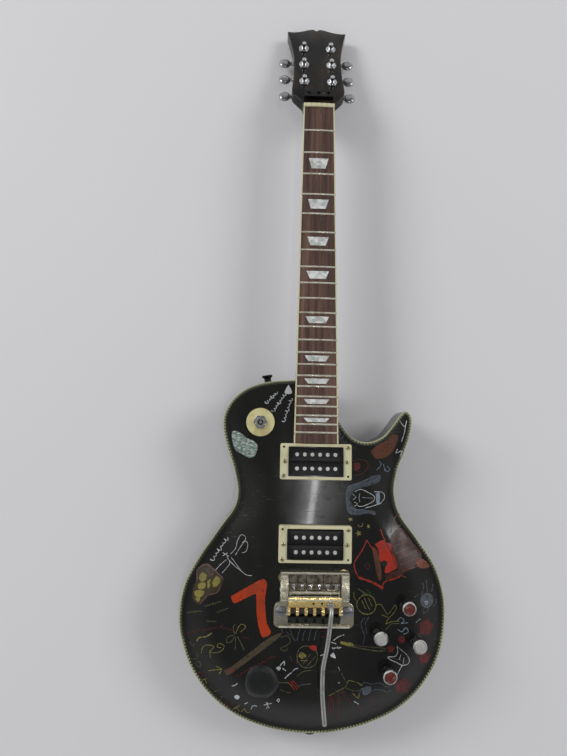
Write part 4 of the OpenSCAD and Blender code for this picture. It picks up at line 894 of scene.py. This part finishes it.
# ---- Nut and string lock ----
# Behind the yellowed nut a black bar, screwed to the headstock, once clamped the strings against slipping.
# The blacking has gone thin along its edges.
black_metal = Finish("black_metal", (0.02, 0.02, 0.021), 0.4, 0.7)
black_metal.patchy(160, 6, (0.52, 0.7), ((0.012, 0.012, 0.013), (0.12, 0.11, 0.1)), (0.34, 0.25), 0.5)
black_metal.eased(0.0004)
black_metal.on("string_lock_bar", "string_lock_screws", "strap_buttons", "jack_plate")

# ---- Tuners ----
# Six sealed die-cast tuners: chromed housings screwed behind the headstock, a worm shaft with a kidney
# button at the side, and a string post through a bushing with a hexagon collar.
chrome = Finish("chrome", (0.62, 0.62, 0.64), 0.16, 1.0)
chrome.patchy(240, 6, (0.55, 0.72), ((0.66, 0.66, 0.68), (0.3, 0.28, 0.25)), (0.1, 0.35), 0.7)
chrome.eased(0.0006)
chrome.on("tuner_housings", "tuner_bushings", "tuner_screws", "saddle_rollers", "switch_nut",
          *["tuner_post_%d" % (k + 1) for k in range(6)])
# the keys take a darker, rougher copy of the chrome; the darker colour is painted shade for the grey their
# reflections show
shaded_chrome = Finish("shaded_chrome", (0.4, 0.4, 0.41), 0.3, 1.0)
shaded_chrome.patchy(150, 5, (0.4, 0.7), ((0.46, 0.46, 0.47), (0.25, 0.25, 0.25)), (0.24, 0.2))
WORM_OFF = 7.3
WORM_Z = -HEAD_T - 5
BUTTON_OUT = 27.3
worm_shaft = [(2.4, -6.2), (2.4, 12), (3.4, 12.6), (3.4, 15), (2.6, 16), (2.6, 22)]
half_button = [(4, 3.3), (6.8, 2.6), (8.3, 1.4)]
button_profile = ([(0.05, -3.4)] + [(r, -z) for r, z in half_button] + [(8.9, 0)] + half_button[::-1]
                  + [(0.05, 3.4)])
for k, (side, s) in enumerate(TUNERS):
    at = HEAD @ shift(side * POST_ROW / 2, s - WORM_OFF, WORM_Z) @ Matrix.Scale(side, 4, (1, 0, 0))
    button = Shape()
    button.turned(worm_shaft, at @ turn(90, "Y"), sides=24)
    button.turned(button_profile, at @ shift(BUTTON_OUT, 0, 0), sides=40)
    name = "tuner_button_%d" % (k + 1)
    button.made("tuner_key_%d" % (k + 1), [shaded_chrome], "chrome", body=name, stands_for=[name])

# ---- Pickup rings ----
# Moulded cream surrounds, one shallow on the neck's pitch and one tall at the bridge. Two of each ring's four
# corner screws are gone and their holes stay open; the plastic has yellowed and gone brown in its corners.
RING_T = (5.0, 9.0)
CORNER_X, CORNER_Y, SPRING_X = 40.5, 18, 39.2
PICKUPS = [NECK @ shift(0, -(BOARD_L + 22.8), -BOARD_T), shift(0, -SCALE + 39.5, TOP)]
surround = Shape()
for at, thick in zip(PICKUPS, RING_T):
    window = rounded(-34.8, -18.7, 34.8, 18.7, 1.2)[::-1]
    holes = [circle(CORNER_X * x, CORNER_Y * y, 1.5, 20) for x in (-1, 1) for y in (-1, 1)]
    holes += [circle(SPRING_X * x, 0, 1.7, 20) for x in (-1, 1)]
    surround.plate(rounded(-45, -22.5, 45, 22.5, 2.2), [window] + holes, 0, thick, 0.9, at)
surround.made("pickup_surrounds", [cream], "cream_plastic", stands_for=["pickup_rings"], sharp=30)

# ---- Pickup coils ----
# Two uncovered double-coil pickups: black bobbins side by side, dusty between the poles, with a row of plain
# steel slugs and a row of slotted screws. They hang on worn screws with springs inside the rings.
coils = Shape()
POLE_PITCH, POLE_ROW = 9.6, 8.75
for at, thick, turned_by in zip(PICKUPS, RING_T, (0, 180)):
    for y in (-POLE_ROW, POLE_ROW):
        poles = [circle(POLE_PITCH * (k - 2.5), y, 2.42, 24) for k in range(6)]
        coils.plate(rounded(-34, y - 8.6, 34, y + 8.6, 2.4), poles, 0, 15, 0.7,
                    at @ shift(0, 0, thick - 12.5) @ turn(turned_by, "Z"))
bobbin = Finish("black_plastic", (0.012, 0.012, 0.013), 0.4, Specular_IOR_Level=0.3)
bobbin.patchy(120, 7, (0.56, 0.82), ((0.007, 0.007, 0.008), (0.05, 0.047, 0.042)), (0.3, 0.35), 0.5)
bobbin.bumped(bobbin.noise(900, 2), 0.15, 0.0002)
coils.made("pickup_coils", [bobbin], "black_plastic", stands_for=["pickup_bobbins"], sharp=30)
bobbin.on("control_cover", "switch_cover")
pole_steel = Finish("pole_steel", (0.8, 0.79, 0.76), 0.3, 0.4)
pole_steel.feed(Base_Color=pole_steel.mix(pole_steel.noise(420, 5), (0.45, 0.44, 0.42), (0.95, 0.94, 0.9)),
                Roughness=0.25 + pole_steel.noise(300) * 0.2)
pole_steel.eased(0.0006)
pole_steel.on("pickup_slugs", "pickup_pole_screws")
steel = Finish("steel", (0.42, 0.41, 0.39), 0.35, 1.0)
steel.patchy(210, 6, (0.5, 0.72), ((0.46, 0.45, 0.43), (0.17, 0.1, 0.06)), (0.28, 0.4), 0.8)
steel.on("pickup_baseplates", "truss_rod", "strap_button_screws", "cover_screws", "selector_switch",
         "vibrato_axle", "control_pots", "output_jack", "switch_lever_stub")

# ---- Pickup screws ----
# Small oval-head machine and wood screws, once gold, now brown where the plating is gone. Across each head,
# at its own angle, lies a dark bar: painted shade standing in for its slot.
chance = random.Random(7)
heads = Shape()
head_spots = [(at, thick, CORNER_X * side, CORNER_Y * side) for at, thick in zip(PICKUPS, RING_T)
              for side in (-1, 1)]
head_spots += [(at, thick, SPRING_X * side, 0) for at, thick in zip(PICKUPS, RING_T) for side in (-1, 1)]


def screw_head(shape, at, r, rise, tone=0):
    """A domed head with a dark bar across it at a chance angle, painted shade in place of a slot."""
    at = at @ turn(chance.uniform(0, 180), "Z")
    dome = [(r * math.cos(a), rise * (0.45 + 0.55 * math.sin(a))) for a in map(math.radians, (0, 25, 50, 70))]
    shape.turned([(r * 0.5, -1.0), (r, 0)] + dome, at, tone, 28)
    # the slot is a dark bar on the dome: painted shade, not a cut
    shape.block((-r * 0.92, -r * 0.14, rise * 0.5), (r * 0.92, r * 0.14, rise * 1.01), at, tone + 1)


for at, thick, x, y in head_spots:
    screw_head(heads, at @ shift(x, y, thick), 2.5, 1.3)
    heads.turned([(1.4, -12), (1.4, -0.5)], at @ shift(x, y, thick), sides=16)
worn_gold = Finish("worn_gold", (0.5, 0.42, 0.24), 0.38, 1.0)
worn_gold.patchy(150, 6, (0.42, 0.68), ((0.62, 0.5, 0.27), (0.34, 0.31, 0.25)), (0.24, 0.3))
# a dark finish for screw slots, the cam's groove floors and the gaps between its claws: painted shade, with
# some grime in the grooves
slot_shade_and_grime = Finish("slot_grime_and_shade", (0.03, 0.025, 0.02), 0.7)
slot_shade_and_grime.feed(Base_Color=slot_shade_and_grime.mix(slot_shade_and_grime.noise(500), (0.015, 0.012, 0.01), (0.06, 0.05, 0.04)))
heads.made("pickup_screw_heads", [worn_gold, slot_shade_and_grime], "worn_gold",
           stands_for=["pickup_height_screws", "pickup_ring_screws"])
worn_gold.on("bridge_post_bushings")

# ---- Vibrato frame ----
# A heavy plated base with a standing wall at each side and ears for its two studs. The plating is dull and
# pale and brown in patches; thin bright strips along its edges are painted highlights.
FRAME_FRONT, FRAME_BACK, FRAME_H = -SCALE + 6.5, -SCALE - 60.5, 13.0
WALL_OUT, WALL_IN, EAR_OUT, EAR_TOP = 42.0, 32.5, 49.0, -SCALE - 30.5
STUD = (41.0, -SCALE - 41)
SIDEWAYS = Matrix(((0, 0, 1, 0), (1, 0, 0, 0), (0, 1, 0, 0), (0, 0, 0, 1)))


def eased_corner(x, y, r, start):
    return [(x + r * math.cos(math.radians(start + 15 * k)), y + r * math.sin(math.radians(start + 15 * k)))
            for k in range(7)]


foot = Shape()
half_plate = (eased_corner(EAR_OUT - 5, FRAME_BACK + 5, 5, 270) + eased_corner(EAR_OUT - 8, EAR_TOP - 8, 8, 0)
              + [(WALL_OUT, EAR_TOP), (WALL_OUT, FRAME_FRONT)])
outline = half_plate + [(-x, y) for x, y in half_plate[::-1]]
opening = rounded(-WALL_IN + 0.5, -SCALE - 56, WALL_IN - 0.5, -SCALE - 22, 1.5)[::-1]
stud_holes = [circle(side * STUD[0], STUD[1], 4.2, 24) for side in (-1, 1)]
foot.plate(outline, [opening] + stud_holes, 0, 3.0, 0.7, shift(0, 0, TOP))
foot.block((-WALL_IN, FRAME_FRONT - 2.5, TOP + 2.5), (WALL_IN, FRAME_FRONT, TOP + FRAME_H - 3))
# the pale frame round the dark pocket is a painted highlight
pocket = rounded(-30.6, -SCALE - 23.2, 30.6, -SCALE - 17.4, 0.6)
foot.plate(pocket, [inset(pocket, 1.0)[::-1]], TOP + 7.4, TOP + 9.3, 0.2, tone=1)
foot.block((-31.5, -SCALE - 18.6, TOP + 2.5), (31.5, -SCALE - 16.4, TOP + 7.5))
foot.block((-EAR_OUT + 5, FRAME_BACK + 0.3, TOP + 2.5), (EAR_OUT - 5, FRAME_BACK + 3, TOP + 5.5))
side_wall = [(FRAME_FRONT, 0.5), (FRAME_FRONT, 8.5), (FRAME_FRONT - 1, 10.5), (FRAME_FRONT - 5.5, FRAME_H),
             (-SCALE - 25.5, FRAME_H), (-SCALE - 27, 10.2), (-SCALE - 33.2, 10.2), (-SCALE - 33.2, 0.5)]
boss = [(-SCALE - 31, 0.5), (-SCALE - 31, 10.2)]
boss += [(AXLE_Y + 6.8 * math.cos(a), 7.6 + 6.2 * math.sin(a)) for a in map(math.radians, range(20, 181, 20))]
boss += [(-SCALE - 45.6, 0.5)]
pin = circle(AXLE_Y, AXLE_UP, 2.5, 24)
for low, inner in ((-WALL_OUT, -WALL_IN - 1.7), (WALL_IN, WALL_IN)):
    foot.plate(side_wall[::-1], [], low, low + 9.5, 0, shift(0, 0, TOP) @ SIDEWAYS)
    foot.plate(boss[::-1], [pin], inner, inner + 1.7, 0, shift(0, 0, TOP) @ SIDEWAYS)
plating = Finish("worn_plating", (0.6, 0.57, 0.45), 0.34, 0.9)
grey = plating.band(plating.noise(80, 6), 0.38, 0.66)
pits = plating.band(plating.noise(520, 3), 0.6, 0.72)
shine = plating.mix(grey, (0.68, 0.64, 0.48), (0.4, 0.38, 0.3))
plating.feed(Base_Color=plating.mix(pits * 0.5, shine, (0.2, 0.17, 0.12)),
             Roughness=0.22 + grey * 0.2 + pits * 0.2)
# a pale, barely metallic plating for painted highlights along edges
painted_highlight = Finish("painted_highlight_plating", (0.85, 0.82, 0.66), 0.3, 0.35)
painted_highlight.feed(Base_Color=painted_highlight.mix(painted_highlight.noise(240, 5), (0.5, 0.46, 0.32), (0.98, 0.96, 0.82)),
            Roughness=0.22 + painted_highlight.noise(120) * 0.2)
# thin bright strips on the ends of the wall tops, along the front bar and along the rear ear: painted
# highlights where edges catch the light
WALL_TOP = TOP + FRAME_H
for side in (-1, 1):
    wall_x = side * (WALL_OUT + WALL_IN) / 2
    foot.block((wall_x - 3.6, FRAME_FRONT - 5.6, WALL_TOP - 0.6),
               (wall_x + 3.6, FRAME_FRONT - 3.4, WALL_TOP + 0.15), tone=1)
    foot.block((wall_x - 4.5, -SCALE - 26.6, WALL_TOP - 1.2),
               (wall_x + 4.5, -SCALE - 25.6, WALL_TOP + 0.1), tone=1)
foot.block((-WALL_OUT + 1, FRAME_FRONT - 0.9, WALL_TOP - 3.4),
           (WALL_OUT - 1, FRAME_FRONT, WALL_TOP - 2.8), tone=1)
foot.block((-EAR_OUT + 6, FRAME_BACK + 0.2, TOP + 5.2), (EAR_OUT - 6, FRAME_BACK + 2.2, TOP + 5.9), tone=1)
foot.made("vibrato_base", [plating, painted_highlight], "worn_gold", stands_for=["vibrato_frame"], bevel=0.5)

# ---- Vibrato cam ----
# The rocking part: a grooved barrel on the axle, a deck over it with two open screw holes, and a dark rail of
# claws behind where the strings' ends once sat. Its gold is still bright on the barrel. The groove floors are
# dark with grime and painted shade, the gaps between the claws with painted shade, and a bright strip along
# the deck's lip is a painted highlight.
CAM_HALF, CAM_R = 32.2, 5.8
STRINGS = [(k - 2.5) * 10.4 for k in range(6)]
DECK_LOW, DECK_TOP = TOP + 11.7, TOP + 14.2
barrel = [(2.55, -CAM_HALF), (CAM_R, -CAM_HALF)]
for middle in STRINGS:
    barrel += [(CAM_R, middle - 3.8), (CAM_R - 0.4, middle - 3.4), (3.6, middle - 3.4), (3.6, middle + 3.4),
               (CAM_R - 0.4, middle + 3.4), (CAM_R, middle + 3.8)]
barrel += [(CAM_R, CAM_HALF), (2.55, CAM_HALF)]
rocker = Shape()
rocker.turned(barrel, Matrix.Translation(CAM) @ turn(90, "Y"), hoop=True, sides=40)
# dark sleeves on the groove floors: grime and painted shade
for middle in STRINGS:
    rocker.turned([(3.65, -3.38), (3.65, 3.38)],
                  shift(middle, 0, 0) @ Matrix.Translation(CAM) @ turn(90, "Y"), 1, 32)
SOCKET = Vector((18.5, CAM.y + 8.2, DECK_LOW))
LIP = CAM.y + 13
deck = [(-CAM_HALF, CAM.y + 5.6), (CAM_HALF, CAM.y + 5.6), (CAM_HALF, LIP + 3.6), (-CAM_HALF, LIP + 3.6)]
deck_holes = [circle(x, CAM.y + 9.4, 1.4, 20) for x in (-1.6, 8.8)] + [circle(SOCKET.x, SOCKET.y, 3.65, 28)]
rocker.plate(deck, deck_holes, DECK_LOW, DECK_TOP, 0.3)
rocker.block((-CAM_HALF, CAM.y + 4, TOP + 9), (CAM_HALF, CAM.y + 6.2, DECK_LOW + 0.3))
rocker.block((25.5, CAM.y + 6.2, DECK_TOP - 0.2), (31.2, LIP - 1, DECK_TOP + 1.4))
# a bright strip along the deck's lip is a painted highlight; the dark bar below fills the gaps between the
# claws with painted shade
rocker.block((-CAM_HALF, LIP, DECK_TOP - 0.1), (CAM_HALF, LIP + 1.6, DECK_TOP + 0.6), tone=3)
rocker.block((-CAM_HALF, CAM.y - 11.4, TOP + 6.8), (CAM_HALF, CAM.y - 6.6, TOP + 8.6), tone=1)
for middle in STRINGS:
    rocker.block((middle - 3.4, CAM.y - 13.6, TOP + 6.4), (middle + 3.4, CAM.y - 7.4, TOP + 11.6), tone=2)
gold = Finish("gold", (0.78, 0.58, 0.24), 0.26, 0.75)
gold.patchy(130, 6, (0.45, 0.68), ((0.98, 0.74, 0.3), (0.55, 0.43, 0.2)), (0.18, 0.25), 0.7)
claws = Finish("claw_metal", (0.04, 0.045, 0.035), 0.5, 0.6)
claws.feed(Base_Color=claws.mix(claws.noise(260, 5), (0.012, 0.018, 0.014), (0.05, 0.06, 0.045)))
rocker.made("vibrato_rocker", [gold, slot_shade_and_grime, claws, painted_highlight], "gold", body="cam",
            stands_for=["vibrato_cam"], bevel=0.35)
chrome.on("arm_socket")

# ---- Saddles ----
# Six blocks under the missing strings. Each carries a steel roller between two cheeks and a small bright grub
# screw behind it; grease and dust have turned them brown.
blocks = Shape()
SADDLE_Y, ROLLER_Y, SADDLE_LOW = -SCALE - 5.5, -SCALE - 8.5, TOP + 3
cheek = [(ROLLER_Y - 3, 5), (ROLLER_Y - 2.6, 8.6), (ROLLER_Y - 1, 10), (ROLLER_Y + 1, 10),
         (ROLLER_Y + 2.6, 8.6), (ROLLER_Y + 3, 5)]
for middle in STRINGS:
    at = shift(middle, 0, SADDLE_LOW)
    blocks.block((-4.9, SADDLE_Y - 9, 0), (4.9, ROLLER_Y - 2.9, 6.2), at)
    blocks.block((-4.9, ROLLER_Y + 2.9, 0), (4.9, SADDLE_Y + 9, 7.2), at)
    blocks.block((-4.9, ROLLER_Y - 3, 0), (4.9, ROLLER_Y + 3, 5.2), at)
    for x in (-3.45, 3.45):
        blocks.plate(cheek[::-1], [circle(ROLLER_Y, 8.5, 0.85, 16)], x - 1.4, x + 1.4, 0, at @ SIDEWAYS)
    # its slot is a dark bar of painted shade
    screw_head(blocks, at @ shift(0.6, SADDLE_Y - 7.1, 6.2), 1.7, 1.0, 1)
saddle_metal = Finish("saddle_metal", (0.2, 0.17, 0.13), 0.45, 0.85)
saddle_metal.patchy(170, 6, (0.4, 0.68), ((0.26, 0.23, 0.17), (0.09, 0.075, 0.055)), (0.34, 0.3))
blocks.made("saddle_blocks", [saddle_metal, chrome, slot_shade_and_grime], "worn_gold",
            stands_for=["saddles"], bevel=0.35)
stud_metal = Finish("stud_metal", (0.24, 0.24, 0.26), 0.4, 0.7)
stud_metal.feed(Base_Color=stud_metal.mix(stud_metal.noise(300, 6), (0.12, 0.12, 0.13), (0.42, 0.42, 0.46)),
                Roughness=0.3 + stud_metal.noise(200) * 0.3)
stud_metal.on("frame_studs")

# ---- Vibrato arm ----
# A chromed rod bent over the bridge and left lying towards the tail. It turns in a threaded collar on the
# deck, and its end is rounded off.
PATH = [(0, 0, 2.6), (0, 0, 8), (0, 0, 14), (0, -2, 17.5), (-0.5, -6, 20), (-1.2, -12, 20.6), (-3, -30, 19.4),
        (-5.5, -48, 17.8), (-9, -66, 17), (-9.8, -85, 17), (-9, -105, 17.5), (-6.5, -132, 18.5)]
ARM_R = 2.7
bent = [Vector(p) for p in curve(PATH, 6)]
tip = (bent[-1] - bent[-2]).normalized()
domed = [(bent[-1] - tip * ARM_R * (1 - math.sin(a)), ARM_R * math.cos(a)) for a in (0.4, 0.8, 1.1, 1.35)]
bent = [p for p in bent if (p - bent[-1]).dot(tip) < -ARM_R]
arm = Shape()
arm.rod(bent + [p for p, _ in domed], [ARM_R] * len(bent) + [r for _, r in domed], Matrix.Translation(SOCKET))
arm.turned([(ARM_R, 8.9), (ARM_R + 0.9, 9.3), (ARM_R + 0.9, 11.9), (ARM_R, 12.3)], Matrix.Translation(SOCKET))
arm_chrome = Finish("arm_chrome", (0.5, 0.5, 0.49), 0.34, 0.9)
arm_chrome.patchy(110, 6, (0.4, 0.7), ((0.52, 0.53, 0.5), (0.34, 0.34, 0.31)), (0.28, 0.25))
arm.made("arm_rod", [arm_chrome], "chrome", body="arm", stands_for=["vibrato_arm"])

# ---- Control knobs ----
# Dark metal barrels with fine knurling and a bright turned rim. Two keep a red inset cap and two a silver
# one, all scuffed; each sits on the shaft of its control.
KNOB_R, KNOB_H, SHAFT_R, SHAFT_DEEP = 8.8, 19.0, 3.0, 18.0
knob_metal = Finish("knob_metal", (0.16, 0.16, 0.17), 0.34, 0.9)
knob_metal.patchy(190, 6, (0.5, 0.72), ((0.1, 0.1, 0.105), (0.33, 0.32, 0.3)), (0.26, 0.25))
knob_rim = Finish("knob_rim", (0.66, 0.66, 0.64), 0.24, 1.0)
knob_rim.feed(Roughness=0.16 + knob_rim.noise(260, 5) * 0.25)
red_cap = Finish("red_cap", (0.12, 0.024, 0.022), 0.34)
red_cap.patchy(240, 6, (0.52, 0.7), ((0.13, 0.022, 0.02), (0.28, 0.14, 0.12)), (0.28, 0.3), 0.7)
silver_cap = Finish("silver_cap", (0.6, 0.585, 0.56), 0.36, 0.35)
silver_cap.feed(Base_Color=silver_cap.mix(silver_cap.noise(150, 6), (0.42, 0.4, 0.37), (0.72, 0.71, 0.69)),
                Roughness=0.3 + silver_cap.noise(90) * 0.2)
RIDGES = 96
KNURL_DEEP = 0.28
# radius, height, and whether the ring is knurled
barrel = [(KNOB_R - 0.9, 0, 0), (KNOB_R - 0.5, 0.6, 0), (KNOB_R, 1.2, 1), (KNOB_R, KNOB_H - 3.6, 1),
          (KNOB_R - 0.5, KNOB_H - 3.0, 0), (KNOB_R - 0.35, KNOB_H - 1.6, 0), (KNOB_R - 1.4, KNOB_H - 0.1, 0),
          (KNOB_R - 1.9, KNOB_H, 0), (KNOB_R - 2.2, KNOB_H - 0.5, 0)]
rings = [[((r - KNURL_DEEP * cut * (i % 2)) * math.cos(2 * math.pi * i / RIDGES),
           (r - KNURL_DEEP * cut * (i % 2)) * math.sin(2 * math.pi * i / RIDGES), z) for i in range(RIDGES)]
         for r, z, cut in barrel]
inset_cap = [(KNOB_R - 2.2, KNOB_H - 3), (KNOB_R - 2.2, KNOB_H - 0.5), (KNOB_R - 2.7, KNOB_H - 0.25),
             (KNOB_R - 5, KNOB_H - 0.12), (0.2, KNOB_H - 0.1)]
for k, (x, y) in enumerate(knob_spots):
    at = shift(x, y, TOP + 1)
    knob = Shape()
    knob.sleeve(rings[:6], at)
    knob.sleeve(rings[5:], at, 1)
    knob.add(rings[0], [list(range(RIDGES))], at)
    knob.turned(inset_cap, at, 2, RIDGES)
    knob.turned([(SHAFT_R, -SHAFT_DEEP), (SHAFT_R, 0.2)], at, 1)
    cap = red_cap if k in (0, 3) else silver_cap
    name = "knob_%d" % (k + 1)
    knob.made("control_" + name, [knob_metal, knob_rim, cap], "knob_metal", body=name,
              stands_for=[name], sharp=24)

# ---- Selector switch ----
# A yellowed plastic ring under a hexagon nut. The toggle's lever has snapped off in the mouth of its bushing
# and left a dark hole with a stump in it.
old_ring = Finish("switch_ring", (0.72, 0.64, 0.3), 0.4)
old_ring.patchy(70, 6, (0.42, 0.7), ((0.76, 0.69, 0.36), (0.4, 0.3, 0.12)), (0.3, 0.25), 0.6)
old_ring.eased(0.0006)
old_ring.on("switch_ring")

# ---- Floor and light ----
# A plain pale floor under soft daylight from high on one side, with a weaker fill across from it. A narrow
# tube overhead leaves one streak on the lacquer between the pickups.
REACH = 6.0
floor_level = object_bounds()[0][2]
corners = [(-REACH, -REACH), (REACH, -REACH), (REACH, REACH), (-REACH, REACH)]
sheet = bpy.data.meshes.new("floor")
sheet.from_pydata([(x, y, floor_level) for x, y in corners], [], [[0, 1, 2, 3]])
floor = bpy.data.objects.new("floor", sheet)
bpy.context.scene.collection.objects.link(floor)
paint = Finish("floor", (0.85, 0.85, 0.865), 0.85)
paint.feed(Base_Color=paint.mix(paint.noise(1.5, 3), (0.83, 0.825, 0.84), (0.88, 0.875, 0.89)))
sheet.materials.append(paint.material)

world = bpy.data.worlds.new("sky")
bpy.context.scene.world = world
world.use_nodes = True
sky = world.node_tree
coordinate = sky.nodes.new("ShaderNodeTexCoord")
height = sky.nodes.new("ShaderNodeSeparateXYZ")
sky.links.new(coordinate.outputs["Generated"], height.inputs[0])
fade = sky.nodes.new("ShaderNodeValToRGB")
fade.color_ramp.elements[0].color = (0.8, 0.81, 0.82, 1)
fade.color_ramp.elements[1].color = (0.15, 0.15, 0.155, 1)
fade.color_ramp.elements[1].position = 0.85
sky.links.new(height.outputs["Z"], fade.inputs[0])
sky.links.new(fade.outputs[0], sky.nodes["Background"].inputs["Color"])


def lamp(name, place, aim, size, watts, twist=0):
    light = bpy.data.lights.new(name, "AREA")
    light.shape = "RECTANGLE"
    light.size, light.size_y = size
    light.energy = watts
    held = bpy.data.objects.new(name, light)
    held.matrix_world = (Matrix.Translation(place)
                         @ (Vector(aim) - Vector(place)).to_track_quat("-Z", "Y").to_matrix().to_4x4()
                         @ turn(twist, "Z"))
    bpy.context.scene.collection.objects.link(held)


lamp("daylight", (-3.4, 1.6, 2.4), (0, 0, 0), (1.6, 1.6), 75)
lamp("fill", (3.2, 1.2, 2.6), (0, 0, 0), (1.6, 1.6), 45)
tube = LIE @ Vector((195, -567, 2360))
lamp("tube", tube, tube - Vector((0, 0, 1)), (0.028, 0.7), 1.9, -3)

# ---- Camera ----
# It hangs over the bass side of the body, level with the neck's end, and looks almost straight down through
# a wide lens.
camera = bpy.data.cameras.new("camera")
camera.lens = 28
camera.sensor_width = 36
seat = bpy.data.objects.new("camera", camera)
bpy.context.scene.collection.objects.link(seat)
bpy.context.scene.camera = seat
spot = LIE @ Vector((-66.6, -455.5, 806.7))
facing = LIE.to_quaternion() @ Euler([math.radians(a) for a in (5.462, -1.928, 1.163)]).to_quaternion()
seat.matrix_world = Matrix.Translation(spot) @ facing.to_matrix().to_4x4()
bpy.context.scene.view_settings.view_transform = "Standard"
